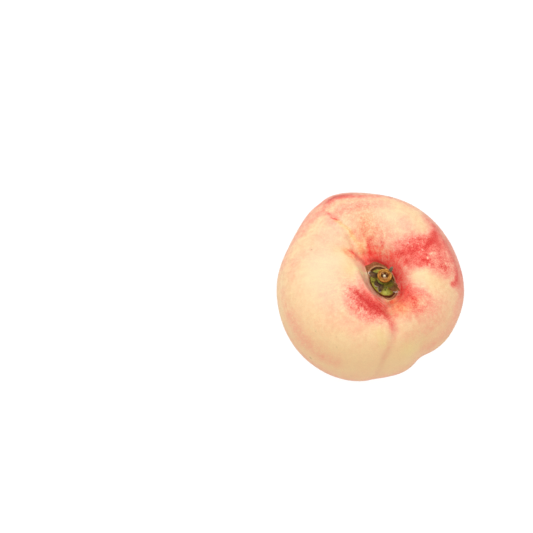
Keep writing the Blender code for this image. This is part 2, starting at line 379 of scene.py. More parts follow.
def poleFaces(rows, columns):
    # The faces of that grid, wound so that they face outwards
    last, lastRow = 1 + rows * columns, 1 + (rows - 1) * columns
    turns = [(j, (j + 1) % columns) for j in range(columns)]
    faces = [(0, 1 + j, 1 + k) for j, k in turns]
    for i in range(rows - 1):
        a, b = 1 + i * columns, 1 + (i + 1) * columns
        faces += [(a + j, b + j, b + k, a + k) for j, k in turns]
    return faces + [(last, lastRow + k, lastRow + j) for j, k in turns]


def softNoise(points, size, seed):
    # Even noise from -1 to 1 with lumps of about this size, one value for each point
    shift = Vector((seed * 13.7, seed * 7.3, seed * 3.1))
    return np.array([noise.noise(Vector(p) / size + shift) for p in points])


def waves(points, layers):
    # Layers of that noise, each (size of its lumps, height, seed)
    return sum(height * softNoise(points, size, seed) for size, height, seed in layers)


# Camera: the picture's frame is 533 by 533, and the fruit's middle stands at targetPixel
camera = {
    "lens": 135.0,
    "sensorWidth": 36.0,
    "pictureSize": 533,
    "pixelSize": 0.375 * mm,
    "elevation": math.radians(68),
    "target": Vector((0, 0, 19.5 * mm)),
    "targetPixel": (370.2, 285.2),
}


def makeCamera():
    c = camera
    focalPixels = c["lens"] / c["sensorWidth"] * c["pictureSize"]
    back = Vector((0, -math.cos(c["elevation"]), math.sin(c["elevation"])))
    middle = c["pictureSize"] / 2
    across = (c["targetPixel"][0] - middle) / focalPixels
    down = (c["targetPixel"][1] - middle) / focalPixels
    aim = Vector((across, -down, -1)).rotation_difference(Vector((0, 0, -1)))
    data = bpy.data.cameras.new("camera")
    data.lens = c["lens"]
    obj = bpy.data.objects.new("camera", data)
    bpy.context.scene.collection.objects.link(obj)
    obj.location = c["target"] + back * focalPixels * c["pixelSize"]
    obj.rotation_mode = "QUATERNION"
    obj.rotation_quaternion = (-back).to_track_quat("-Z", "Y") @ aim
    bpy.context.scene.camera = obj


# Light: a pale table that glows a little, a sky brighter overhead and two large soft lamps
studio = {
    "tableSize": 3.0,
    "tableLevel": -0.02 * mm,  # a hair below the sole, so that the two don't flicker
    "tableGlow": 0.92,
    "tableColour": (0.14, 0.14, 0.14),
    "skyLow": 0.50,
    "skyHigh": 1.50,
    "skyGather": 2.2,  # how much of the light comes from overhead
    # (place, width, power): the stronger from the upper left, the weaker from the upper right
    "lamps": (
        (Vector((-0.55, 0.42, 0.95)), 0.9, 2.6),
        (Vector((0.45, 0.08, 1.0)), 0.9, 0.9),
    ),
}


def makeTable():
    s = studio
    half, low = s["tableSize"] / 2, s["tableLevel"]
    corners = [(x * half, y * half, low) for x, y in ((-1, -1), (1, -1), (1, 1), (-1, 1))]
    m = Maker("paleTable")
    glow = {"Emission Color": (1, 1, 1, 1), "Emission Strength": s["tableGlow"]}
    material = m.finish(s["tableColour"], 1.0, 0.0, glow)
    meshPiece("table", corners, [(0, 1, 2, 3)], material)


def makeSky():
    world = bpy.data.worlds.new("softSky")
    bpy.context.scene.world = world
    world.use_nodes = True
    nodes, links = world.node_tree.nodes, world.node_tree.links
    place = nodes.new("ShaderNodeTexCoord")
    height = nodes.new("ShaderNodeSeparateXYZ")
    gather = nodes.new("ShaderNodeMath")
    gather.operation = "POWER"
    gather.use_clamp = True
    gather.inputs[1].default_value = studio["skyGather"]
    level = nodes.new("ShaderNodeMapRange")
    level.inputs["To Min"].default_value = studio["skyLow"]
    level.inputs["To Max"].default_value = studio["skyHigh"]
    links.new(place.outputs["Generated"], height.inputs[0])
    links.new(height.outputs["Z"], gather.inputs[0])
    links.new(gather.outputs[0], level.inputs["Value"])
    links.new(level.outputs[0], nodes["Background"].inputs["Strength"])
    nodes["Background"].inputs["Color"].default_value = (1, 1, 1, 1)


def makeLamps():
    for stand, width, power in studio["lamps"]:
        lamp = bpy.data.lights.new("softLamp", "AREA")
        lamp.energy = power
        lamp.size = width
        lampObject = bpy.data.objects.new("softLamp", lamp)
        bpy.context.scene.collection.objects.link(lampObject)
        lampObject.location = stand
        lampObject.rotation_mode = "QUATERNION"
        lampObject.rotation_quaternion = (-stand).to_track_quat("-Z", "Y")


bpy.context.scene.view_settings.view_transform = "Standard"
makeCamera()
makeTable()
makeSky()
makeLamps()
print("camera and studio ready")


# The skin
skin = {
    "columns": 416,
    # (ring, rows of faces from there to the next station)
    "rowStations": (
        (0, 6), (0.4, 36), (1.1, 26), (2, 22), (3, 26), (4, 28), (5, 34), (6, 18), (7, 12), (8, 10),
        (9, 8), (10, 5),
    ),
    "inset": 0.35 * mm,         # room for the undulation and the down inside the fruit's sizes
    # (size of the lumps, height, seed)
    "undulation": ((9.0 * mm, 0.10 * mm, 1), (4.0 * mm, 0.05 * mm, 2), (1.7 * mm, 0.02 * mm, 3)),
    "undulationRings": ((1.2, 0), (3, 1)),  # (ring, share)
    "soleRise": (1.0 * mm, 3 * mm),  # the sole is left flat up to here, and eases out over this
    # How far the edges of the red wander: (size of the lumps, reach, first seed)
    "wander": ((2.6 * mm, 0.40 * mm, 70), (0.8 * mm, 0.32 * mm, 73)),
    "wanderRings": ((1.2, 0.3), (3.2, 1)),  # (ring, share)
    "fineStroke": 1.3,          # strokes with a smaller half width, in mm, wander
    "litRings": ((1.0, 1), (2.3, 1), (3.2, 0)),  # the cavity gleams: (ring, level)
    "greenRings": ((9.0, 0), (10.5, 1)),  # greener towards the flower end
    "downyRings": ((1.4, 0), (2.0, 1)),  # no down on the seat, nor below lowestDown
    "lastDownyRing": 10,
    "lowestDown": 1.6 * mm,
    "streakSpread": (6, 0.55),  # round the stem and down the rings
    # Painted shade: deeper cream low down and in front, where the flank turns from the light: (start,
    # over)
    "lowRings": (6.6, 1.2),
    "lowShare": 0.7,
    "frontSide": (-4 * mm, 34 * mm),
    "frontRings": (4.4, 2.0),
}

skinColours = {
    "cream": (seen(252, 221, 173), seen(246, 207, 159)),
    # Painted highlight: the cream of the lit crests
    "highlightCream": seen(252, 224, 181),
    "shadedCream": seen(240, 202, 150),
    "greenCream": seen(236, 214, 142),
    # What each level of red does to the cream
    "stain": (
        (0.00, (1.00, 1.00, 1.00)),
        (0.24, (1.00, 0.690, 0.800)),
        (0.45, (0.99, 0.440, 0.560)),
        (0.64, (0.93, 0.262, 0.340)),
        (0.80, (0.87, 0.142, 0.190)),
        (1.00, (0.78, 0.058, 0.085)),
    ),
    "warmer": (1.0, 1.16, 0.66),
    "lighter": (1.28, 1.34, 1.32),
    # Painted shade: the tint that darkens the skin where shade falls
    "shadeTint": (0.50, 0.52, 0.50),
    "fine": ((0.95, 0.95, 0.95), (1.04, 1.04, 1.04)),
    # Painted sheen and shade: the greyish veil at the turned-away edges
    "paintedEdgeHaze": seen(192, 152, 134),
    "darkSpeck": seen(120, 84, 52),
    "whiteSpeck": seen(255, 236, 226),
    "scar": (seen(112, 76, 44), seen(176, 134, 92)),
    "cork": (seen(128, 72, 34), seen(172, 112, 68)),
    "paleCork": (seen(190, 128, 92), seen(232, 176, 138)),
    "ridge": (seen(196, 138, 92), seen(228, 180, 130)),
    # Painted shade: the groove's dark colour, and a lighter one for the paler side
    "shadedCrevice": (seen(76, 46, 16), seen(124, 80, 34)),
    "lessShadedCrevice": (seen(128, 88, 44), seen(190, 146, 92)),
}

# Red in the skin as strokes: (half width mm, ((turn, ring, level), ...)). Level 0 is cream and 1 the
# deepest red.
redStrokes = {
    "rim of the cavity": (
        (2.1, ((121, 1.2, 0.74), (104, 1.2, 0.82), (84, 1.2, 0.78), (60, 1.2, 0.76), (36, 1.2, 0.78),
               (12, 1.2, 0.64))),
        (2.1, ((12, 1.2, 0.58), (-8, 1.2, 0.62), (-26, 1.2, 0.68), (-42, 1.2, 0.70))),
        (2.1, ((119, 1.6, 0.74), (104, 1.6, 0.80), (84, 1.6, 0.74), (60, 1.6, 0.76), (36, 1.6, 0.76),
               (12, 1.6, 0.62))),
        (2.1, ((12, 1.6, 0.62), (-8, 1.6, 0.68), (-26, 1.6, 0.74), (-42, 1.6, 0.68))),
        (2.1, ((114, 2.0, 0.76), (104, 2.0, 0.74), (84, 2.0, 0.64), (60, 2.0, 0.74), (36, 2.0, 0.74),
               (12, 2.0, 0.56))),
        (2.1, ((12, 2.0, 0.56), (0, 1.95, 0.52), (-10, 2.0, 0.60), (-22, 2.0, 0.72), (-42, 2.0, 0.68))),
        (1.1, ((117, 1.38, 0.80), (106, 1.38, 0.92), (96, 1.34, 0.90), (86, 1.3, 0.84),
               (70, 1.25, 0.80))),
        # This narrow line deepens the red along the seat's edge as a painted shadow line
        (0.8, ((57, 1.2, 0.84), (48, 1.15, 0.92), (36, 1.12, 0.92), (24, 1.08, 0.84), (8, 1.0, 0.80))),
        (0.9, ((-5, 1.35, 0.78), (-12, 1.38, 0.88), (-20, 1.35, 0.86))),
        (0.9, ((-33, 1.4, 0.84), (-35, 1.7, 0.80))),
        (0.9, ((-63, 1.05, 0.76), (-67, 1.15, 0.80), (-66, 1.5, 0.66))),
    ),
    "coral slope behind the stalk": (
        (2.3, ((107, 2.5, 0.66), (98, 2.5, 0.58), (88, 2.5, 0.50), (76, 2.45, 0.48), (66, 2.45, 0.64))),
        (2.6, ((104, 3.0, 0.42), (92, 3.0, 0.38), (80, 3.0, 0.28), (70, 3.0, 0.28))),
        (1.1, ((112, 1.9, 0.86), (110.5, 2.3, 0.80), (109.5, 2.7, 0.74), (108, 3.05, 0.62),
               (107, 3.3, 0.4))),
        (0.8, ((106, 2.8, 0.58), (105, 3.1, 0.50), (104, 3.25, 0.40))),
        (0.6, ((88, 2.75, 0.56), (86, 2.85, 0.58), (86, 3.1, 0.44))),
        (5.0, ((112, 3.6, 0.30), (98, 3.7, 0.27), (84, 3.6, 0.20), (68, 3.6, 0.14))),
        (5.0, ((106, 4.6, 0.24), (94, 4.6, 0.18), (82, 4.2, 0.14))),
        (0.5, ((107, 4.12, 0.42), (105.8, 4.2, 0.40))),
        (0.5, ((104.4, 4.55, 0.36), (103.6, 4.62, 0.34))),
        (0.4, ((93, 3.85, 0.36), (92.5, 3.9, 0.34))),
    ),
    "band over the right cheek": (
        (3.1, ((62, 2.3, 0.74), (53, 2.7, 0.77), (45, 3.1, 0.80), (39, 3.5, 0.80), (35, 4.0, 0.83),
               (31, 4.5, 0.83),
               (27, 5.0, 0.86), (29, 5.5, 0.84), (32, 5.75, 0.72))),
        (2.6, ((36, 2.4, 0.70), (30, 2.9, 0.72), (23, 3.2, 0.64), (20, 3.8, 0.66), (17, 4.4, 0.74),
               (14, 4.8, 0.76))),
        (2.0, ((31, 3.2, 0.60), (26, 3.7, 0.60), (22, 4.3, 0.64), (20, 4.8, 0.66))),
        (2.4, ((12, 4.8, 0.72), (8, 4.95, 0.64), (4, 5.1, 0.50), (2, 5.3, 0.44))),
        (2.2, ((43, 4.3, 0.60), (38, 4.8, 0.70), (34, 5.2, 0.70))),
        (4.0, ((62, 5.1, 0.15), (55, 4.9, 0.20), (49, 4.75, 0.18), (46, 4.95, 0.14))),
        (3.0, ((60, 3.2, 0.42), (53, 3.7, 0.42), (47, 4.2, 0.38), (43, 4.7, 0.36))),
        (1.4, ((16, 2.6, 0.40), (15, 3.2, 0.34), (12, 3.8, 0.42), (10, 4.3, 0.56))),
        (3.2, ((33, 5.8, 0.60), (24, 5.6, 0.68), (15, 5.45, 0.60), (8, 5.45, 0.58), (1, 5.6, 0.56))),
        (3.4, ((44, 6.05, 0.42), (34, 5.95, 0.60), (22, 6.0, 0.58), (8, 6.1, 0.58), (-4, 6.25, 0.52))),
        (1.6, ((-7, 5.95, 0.60), (-5, 6.1, 0.78), (-1, 6.15, 0.74), (4, 6.2, 0.60))),
        (1.0, ((49, 3.65, 0.66), (46.5, 3.7, 0.62))),
        (1.4, ((22, 5.0, 0.60), (25, 5.05, 0.60), (29, 5.5, 0.50))),
        (1.6, ((22, 5.74, 0.50), (15, 5.72, 0.56), (6, 5.8, 0.56))),
        (1.2, ((36, 4.2, 0.66), (34, 4.4, 0.66))),
        (1.0, ((15.5, 4.5, 0.82), (13.5, 4.75, 0.82), (9, 4.75, 0.76))),
        (5.0, ((48, 6.4, 0.32), (34, 6.4, 0.42), (18, 6.45, 0.44), (4, 6.5, 0.44), (-8, 6.6, 0.32))),
        (9.0, ((58, 6.8, 0.22), (40, 6.8, 0.34), (20, 6.85, 0.40), (2, 6.9, 0.36), (-14, 6.95, 0.20))),
        (10.0, ((50, 7.6, 0.16), (28, 7.6, 0.26), (4, 7.6, 0.22))),
    ),
    "right of the stalk": (
        (2.8, ((-24, 2.3, 0.80), (-34, 2.5, 0.80), (-44, 2.6, 0.72), (-50, 2.5, 0.66))),
        (3.0, ((-30, 3.1, 0.66), (-38, 3.3, 0.70), (-46, 3.3, 0.64))),
        (3.2, ((-35, 4.1, 0.62), (-40, 4.4, 0.64), (-43, 4.9, 0.52))),
        (0.7, ((-37.5, 3.75, 0.76), (-37, 4.0, 0.90), (-36.5, 4.3, 0.84), (-36, 4.6, 0.7))),
        (2.8, ((-28, 4.0, 0.50), (-27, 4.7, 0.44), (-30, 5.2, 0.36))),
        (2.2, ((-47, 5.1, 0.34), (-42, 5.2, 0.50), (-36, 5.2, 0.42))),
        (4.2, ((-44, 5.5, 0.20), (-34, 5.6, 0.22), (-24, 5.6, 0.14))),
        (1.8, ((-19, 2.7, 0.48), (-10, 2.4, 0.50), (0, 2.25, 0.46), (8, 2.35, 0.46), (14, 2.45, 0.5))),
        (1.7, ((-19, 3.1, 0.40), (-11, 2.75, 0.32), (0, 2.6, 0.32), (8, 2.7, 0.36))),
        (2.4, ((-22, 3.6, 0.28), (-20, 4.1, 0.20))),
        (4.0, ((-24, 5.9, 0.14), (-34, 6.1, 0.14), (-44, 6.1, 0.14))),
    ),
    "orange slope in front": (
        (2.8, ((-60, 1.4, 0.60), (-60, 2.1, 0.58), (-60, 2.9, 0.55), (-59, 3.6, 0.53),
               (-58, 4.2, 0.50), (-57, 4.7, 0.36))),
        (1.7, ((-52, 1.5, 0.62), (-51, 2.3, 0.66), (-51, 3.1, 0.62), (-50, 3.9, 0.54),
               (-49, 4.6, 0.40))),
        (1.9, ((-68, 1.4, 0.60), (-69, 2.2, 0.54), (-69, 3.0, 0.49), (-69, 3.8, 0.46),
               (-68, 4.6, 0.42))),
        (0.5, ((-62, 3.3, 0.54), (-60.5, 4.0, 0.54), (-60, 4.55, 0.46))),
        (0.5, ((-54.5, 3.4, 0.54), (-53, 4.0, 0.56), (-51.5, 4.6, 0.46))),
        (3.0, ((-62, 4.9, 0.22), (-52, 5.1, 0.24), (-44, 5.2, 0.2))),
    ),
    "front suture": (
        (2.1, ((-79, 1.4, 0.62), (-79, 2.2, 0.63), (-80, 3.0, 0.67), (-80, 3.8, 0.68),
               (-78, 4.5, 0.56))),
        (1.9, ((-84, 4.1, 0.70), (-80, 4.4, 0.66), (-76, 4.7, 0.58))),
        (1.9, ((-76, 4.7, 0.56), (-73.5, 5.1, 0.46), (-72, 5.4, 0.30))),
        (2.0, ((-98, 2.6, 0.58), (-86, 2.6, 0.62))),
        (1.3, ((-72, 5.5, 0.17), (-76, 5.9, 0.11), (-81, 6.4, 0.09), (-86, 7.1, 0.08))),
    ),
    "patch on the big cheek": (
        (1.0, ((-92, 3.28, 0.74), (-88, 3.38, 0.92), (-85, 3.5, 0.78))),
        (1.8, ((-144, 3.92, 0.44), (-137, 3.92, 0.78), (-128, 3.92, 0.94), (-116, 3.92, 0.98),
               (-104, 3.98, 0.98))),
        (1.8, ((-104, 3.98, 0.98), (-94, 4.02, 0.94), (-86, 4.06, 0.92))),
        (1.7, ((-141, 3.60, 0.30), (-132, 3.54, 0.66), (-120, 3.60, 0.80), (-106, 3.66, 0.86),
               (-92, 3.72, 0.86))),
        (2.0, ((-140, 4.16, 0.46), (-130, 4.2, 0.68), (-120, 4.24, 0.76), (-110, 4.26, 0.78),
               (-92, 4.28, 0.68))),
        (2.0, ((-92, 4.26, 0.66), (-83, 4.32, 0.58))),
        (3.0, ((-156, 4.0, 0.16), (-144, 4.2, 0.30), (-130, 4.5, 0.34), (-114, 4.58, 0.38),
               (-100, 4.66, 0.40), (-88, 4.64, 0.38))),
        (0.6, ((-118, 4.45, 0.66), (-115, 4.50, 0.62))),
        (0.6, ((-103, 4.51, 0.68), (-100, 4.51, 0.64))),
        (0.6, ((-99, 4.69, 0.56), (-97, 4.74, 0.5))),
        (0.6, ((-150, 4.18, 0.50), (-148, 4.09, 0.62), (-145, 4.01, 0.46))),
        (1.3, ((-152, 3.92, 0.28), (-147, 3.84, 0.42))),
        (0.5, ((-128.5, 4.58, 0.42), (-126.5, 4.60, 0.38))),
        (0.5, ((-119, 4.86, 0.36), (-116, 4.83, 0.34))),
        (0.5, ((-110, 4.83, 0.38), (-107, 4.84, 0.34))),
        (4.0, ((-118, 5.15, 0.12), (-104, 5.25, 0.12))),
    ),
    "lip of the big cheek": (
        (2.3, ((-178, 2.45, 0.24), (-166, 2.5, 0.32), (-156, 2.55, 0.35), (-144, 2.62, 0.39),
               (-132, 2.66, 0.44))),
        (2.3, ((-132, 2.66, 0.44), (-120, 2.73, 0.50), (-108, 2.87, 0.56), (-98, 2.9, 0.68),
               (-90, 2.74, 0.64))),
        (2.2, ((-178, 3.1, 0.20), (-164, 3.2, 0.26), (-152, 3.28, 0.36), (-138, 3.34, 0.44),
               (-124, 3.36, 0.52), (-110, 3.42, 0.56))),
        (1.4, ((-110, 3.42, 0.56), (-98, 3.44, 0.72), (-91, 3.41, 0.72))),
        (2.3, ((162, 1.15, 0.18), (172, 1.14, 0.28), (-175, 1.2, 0.34), (-160, 1.2, 0.38),
               (-140, 1.2, 0.42))),
        (2.3, ((-140, 1.2, 0.42), (-120, 1.2, 0.50), (-105, 1.2, 0.68), (-95, 1.34, 0.62))),
        (2.0, ((-156, 3.66, 0.12), (-150, 3.52, 0.2))),
    ),
    "folds behind the stalk": (
        (2.0, ((130.5, 1.5, 0.64), (131, 2.0, 0.58), (132, 2.5, 0.58), (133.5, 2.9, 0.58),
               (135.5, 3.2, 0.54))),
        (1.5, ((135.5, 3.2, 0.54), (138.5, 3.45, 0.54), (142, 3.8, 0.42), (146, 4.15, 0.20))),
        (0.40, ((131, 2.3, 0.56), (135, 3.0, 0.72), (138.5, 3.6, 0.64), (141, 4.0, 0.34))),
        (0.40, ((136, 2.7, 0.5), (140, 3.1, 0.56), (145, 3.5, 0.38), (149, 3.8, 0.24))),
        (0.35, ((140, 2.9, 0.36), (146, 3.25, 0.38), (151, 3.47, 0.2))),
        (2.4, ((124, 1.6, 0.62), (121, 2.0, 0.50), (120, 2.6, 0.36), (119, 3.4, 0.28),
               (120, 4.4, 0.22))),
        (1.8, ((137, 1.3, 0.34), (139, 1.8, 0.30), (140, 2.2, 0.30))),
        (0.6, ((127, 1.28, 0.80), (123, 1.25, 0.94), (119, 1.28, 0.80))),
        (3.0, ((146, 2.7, 0.26), (140, 3.0, 0.30), (134, 2.6, 0.34), (126, 2.8, 0.30))),
        (0.45, ((123.7, 5.22, 0.60), (125, 5.3, 0.84), (126.6, 5.42, 0.66))),
        (0.45, ((124.4, 5.52, 0.56), (125.5, 5.6, 0.70), (127.5, 5.66, 0.56))),
        (1.5, ((123.5, 5.1, 0.26), (125, 5.4, 0.36), (126.5, 5.75, 0.28))),
        (0.55, ((122.5, 5.1, 0.34), (122.3, 4.8, 0.32), (121.8, 4.2, 0.30), (121.3, 3.6, 0.26),
                (122, 3.0, 0.24))),
        (0.5, ((126.5, 3.9, 0.24), (127, 3.4, 0.30), (127.5, 2.9, 0.32), (128, 2.4, 0.34))),
        (0.4, ((116, 3.9, 0.26), (115.5, 3.4, 0.32), (116, 2.8, 0.40))),
        (3.0, ((140, 4.28, 0.14), (148, 4.66, 0.13), (156, 5.0, 0.10))),
    ),
    "back edge": (
        (3.6, ((128, 5.3, 0.24), (118, 5.4, 0.24), (104, 5.4, 0.28), (92, 5.5, 0.26), (80, 5.65, 0.15))),
        (2.6, ((148, 6.0, 0.20), (138, 5.95, 0.26), (128, 5.85, 0.32), (120, 5.95, 0.40))),
        (2.3, ((120, 6.0, 0.56), (114, 6.0, 0.70), (108, 5.94, 0.66), (102, 5.88, 0.52),
               (96, 5.92, 0.42), (86, 6.0, 0.34))),
        (1.0, ((118, 6.05, 0.62), (113, 6.08, 0.76), (108, 6.06, 0.66), (102, 6.05, 0.5))),
        (2.2, ((84, 6.1, 0.30), (72, 6.1, 0.22), (60, 6.05, 0.2))),
        (5.0, ((122, 6.3, 0.34), (110, 6.35, 0.40), (96, 6.35, 0.32), (80, 6.4, 0.24), (64, 6.4, 0.20))),
        (9.0, ((126, 6.8, 0.24), (108, 6.8, 0.34), (90, 6.85, 0.28), (72, 6.85, 0.20))),
        (11.0, ((112, 7.6, 0.20), (88, 7.6, 0.18))),
        (5.0, ((134, 6.3, 0.26), (150, 6.35, 0.20), (170, 6.4, 0.15))),
        (9.0, ((146, 6.9, 0.14), (170, 6.9, 0.10))),
        (7.0, ((158, 5.2, 0.10), (144, 5.1, 0.13), (130, 4.9, 0.14), (112, 4.9, 0.14), (92, 5.1, 0.11))),
    ),
    "faint mottling round the flanks": (
        (4.2, ((-152, 6.3, 0.12), (-144, 6.4, 0.17), (-136, 6.5, 0.17), (-127, 6.5, 0.14))),
        (3.4, ((-122, 6.6, 0.16), (-112, 6.55, 0.12))),
        (7.0, ((-50, 7.5, 0.15), (-72, 7.65, 0.20), (-98, 7.65, 0.22), (-122, 7.5, 0.19),
               (-146, 7.3, 0.13))),
        (2.4, ((-20, 6.45, 0.20), (-14, 6.5, 0.26), (-7, 6.5, 0.28))),
        (6.0, ((-48, 6.9, 0.14), (-30, 6.85, 0.17), (-14, 6.8, 0.22))),
        (3.0, ((-176, 5.9, 0.11), (174, 5.8, 0.13), (169, 5.67, 0.12))),
        (3.0, ((-166, 6.3, 0.11), (-160, 6.35, 0.12))),
        (4.0, ((-60, 5.9, 0.10), (-48, 6.0, 0.12))),
        (6.0, ((-168, 4.2, 0.08), (-150, 4.9, 0.10), (-128, 5.2, 0.10))),
    ),
}
# Small light flecks in the band
paleStrokes = (
    (0.30, ((7.6, 4.8, 0.7), (8.4, 4.8, 0.7))),
    (0.30, ((14.8, 4.82, 0.8), (16.2, 4.84, 0.8))),
    (0.28, ((26.2, 4.73, 0.8), (26.8, 4.73, 0.8))),
    (0.22, ((37.5, 4.2, 0.6), (38, 4.2, 0.6))),
)
# Painted highlight: the lightest cream, on the crests that face the light
paintedHighlightStrokes = (
    (8.0, ((-155, 5.0, 0.9), (-165, 5.0, 1.0), (175, 4.94, 1.0), (162, 4.50, 1.0))),
    (5.0, ((150, 5.17, 0.5), (140, 5.17, 0.6), (130, 5.1, 0.6))),
    (5.0, ((84, 5.2, 0.6), (72, 5.1, 0.7), (62, 5.0, 0.5))),
    (3.6, ((-4, 3.9, 0.3), (-8, 4.4, 0.3))),
)
# Where the red leans to orange
warmStrokes = (
    (2.8, ((-62, 1.2, 0.8), (-61, 2.0, 0.8), (-60, 3.0, 0.8), (-58, 3.8, 0.8), (-57, 4.4, 0.7))),
    (2.4, ((106, 2.4, 0.3), (90, 2.4, 0.3), (78, 2.5, 0.2))),
    (5.0, ((112, 3.2, 0.35), (104, 4.0, 0.4), (100, 4.8, 0.4))),
    (4.0, ((-66, 3.8, 0.6), (-50, 4.4, 0.5), (-40, 4.6, 0.4))),
    (1.0, ((125, 5.2, 0.8), (122.5, 4.6, 0.8), (122, 3.8, 0.8), (121, 3.2, 0.6))),
    (2.4, ((122, 2.4, 0.7), (119, 3.0, 0.7))),
    (3.0, ((138, 3.2, 0.5), (144, 3.91, 0.7), (152, 4.50, 0.6))),
)
# Yellow-green undertone
greenStrokes = (
    (3.2, ((172, 3.75, 0.45), (164, 3.60, 0.45))),
    (2.0, ((-84, 5.4, 0.45), (-81, 5.8, 0.45))),
    (4.0, ((-64, 6.2, 0.40), (-56, 6.5, 0.40))),
    (3.0, ((-3, 4.6, 0.15), (-8, 5.1, 0.20), (-8, 5.5, 0.20))),
)
# Places that gleam a little in the cavity's folds and on the wall below the big cheek's lip
litStrokes = (
    (2.0, ((124, 5.0, 0.3), (122, 4.0, 0.5), (126, 3.0, 0.7), (130, 2.4, 0.8))),
    (2.6, ((136, 2.5, 1.0), (142, 3.2, 0.8), (148, 4.0, 0.4))),
    (2.4, ((150, 2.6, 1.0), (175, 2.7, 1.0), (-160, 2.7, 1.0), (-135, 2.75, 1.0), (-110, 2.8, 0.8))),
)
# Painted shade: duller, darker skin in the creases, along the seat's edge, across the big cheek's patch
# and where the skin turns away from the light
paintedShadeStrokes = (
    (2.2, ((-82, 2.6, 0.22), (-80, 3.2, 0.26), (-80, 3.9, 0.30), (-78, 4.6, 0.24))),
    (1.1, ((-73, 1.2, 0.4), (-72.5, 2.2, 0.35), (-72, 3.2, 0.25), (-72, 4.2, 0.22), (-72.5, 4.8, 0.2))),
    (1.5, ((119, 6.08, 0.3), (113, 6.06, 0.5), (107, 6.04, 0.4), (101, 6.02, 0.26), (92, 6.05, 0.14))),
    (3.0, ((48, 6.15, 0.20), (34, 6.15, 0.28), (22, 6.15, 0.27), (8, 6.25, 0.24), (-6, 6.35, 0.16))),
    (3.2, ((-132, 3.9, 0.16), (-118, 3.9, 0.22), (-102, 3.9, 0.24), (-90, 3.8, 0.24))),
    (1.1, ((132, 1.6, 0.5), (132, 2.0, 0.45), (133, 2.5, 0.3))),
    (0.7, ((57, 1.15, 0.6), (40, 1.12, 0.6), (24, 1.05, 0.5))),
    (1.1, ((118, 1.44, 0.7), (104, 1.38, 0.7), (92, 1.32, 0.7), (78, 1.26, 0.6))),
    (1.5, ((-74, 4.9, 0.16), (-72, 5.4, 0.18), (-77, 6.0, 0.13), (-81, 6.4, 0.11), (-86, 7.1, 0.08))),
)
# Painted sheen and shade: a greyish veil where the skin turns away, standing in for the down seen
# edge-on
edgeHazeStrokes = (
    (3.6, ((52, 6.45, 0.24), (36, 6.5, 0.36), (22, 6.5, 0.36), (8, 6.6, 0.28), (-10, 6.8, 0.16))),
    (2.4, ((125, 6.2, 0.16), (112, 6.25, 0.28), (96, 6.2, 0.24), (80, 6.2, 0.18), (60, 6.2, 0.16))),
)
# Where the red is broken into dots
dottedStrokes = (
    (5.0, ((36, 4.6, 0.8), (24, 4.9, 1.0), (10, 5.3, 1.0), (4, 5.8, 1.0))),
    (4.0, ((-145, 4.34, 0.9), (-125, 4.45, 1.0), (-105, 4.59, 1.0), (-88, 4.65, 0.9))),
    (5.0, ((-40, 5.2, 0.6), (-30, 5.3, 0.5))),
    (6.0, ((80, 3.8, 0.8), (100, 4.2, 0.9), (98, 5.4, 0.9), (120, 5.6, 0.9))),
    (8.0, ((-150, 6.4, 0.8), (-120, 6.6, 0.8))),
)
# Specks: (turn, ring, radius mm), dark ones and white ones
darkSpecks = ((162, 5.4, 0.22), (-131, 5.93, 0.20), (-113, 6.0, 0.16), (-127.5, 6.95, 0.32),
              (-117, 5.72, 0.14))
whiteSpecks = ((44.6, 4.12, 0.16), (41.5, 4.8, 0.14), (33.5, 5.3, 0.14), (26.5, 4.73, 0.14))

# The seat: rings at which its lines run, each by turn. The skin ends at skinEdge, ridge is a pale raised
# line, and crevice is the groove beside the pad, darkened as painted shade.
seatLines = {
    "skinEdge": (
        (-90, 0.67), (-80, 0.80), (-70, 0.92), (-60, 0.90), (-40, 0.93), (-25, 0.98), (-10, 0.95),
        (0, 0.90), (20, 0.96), (40, 1.05), (60, 1.12), (80, 1.22), (90, 1.22), (100, 1.28),
        (110, 1.33), (120, 1.25), (128, 1.30), (134, 1.42), (140, 1.12), (145, 0.97), (150, 0.87),
        (160, 0.80), (180, 0.78), (190, 0.75), (200, 0.70), (220, 0.65), (230, 0.62), (250, 0.61),
        (260, 0.64), (270, 0.67),
    ),
    "ridge": (
        (-90, 0.62), (-80, 0.72), (-70, 0.78), (-50, 0.80), (-25, 0.82), (0, 0.80), (10, 0.83),
        (20, 0.88), (30, 0.93), (40, 0.98), (50, 1.03), (70, 1.04), (90, 1.03), (100, 1.01),
        (110, 0.99), (120, 0.95), (130, 0.93), (142, 0.93), (148, 0.82), (155, 0.75), (170, 0.68),
        (180, 0.66), (200, 0.61), (220, 0.58), (230, 0.56), (240, 0.56), (250, 0.57), (260, 0.60),
        (270, 0.62),
    ),
    "shadedCrevice": (
        (-90, 0.55), (-80, 0.58), (-70, 0.63), (-50, 0.66), (-25, 0.66), (-10, 0.62), (0, 0.60),
        (10, 0.68), (20, 0.74), (30, 0.80), (40, 0.86), (60, 0.92), (90, 0.93), (100, 0.92),
        (110, 0.89), (120, 0.86), (130, 0.82), (140, 0.76), (150, 0.68), (160, 0.60), (170, 0.57),
        (190, 0.53), (210, 0.49), (230, 0.48), (240, 0.48), (250, 0.50), (260, 0.54), (270, 0.55),
    ),
}

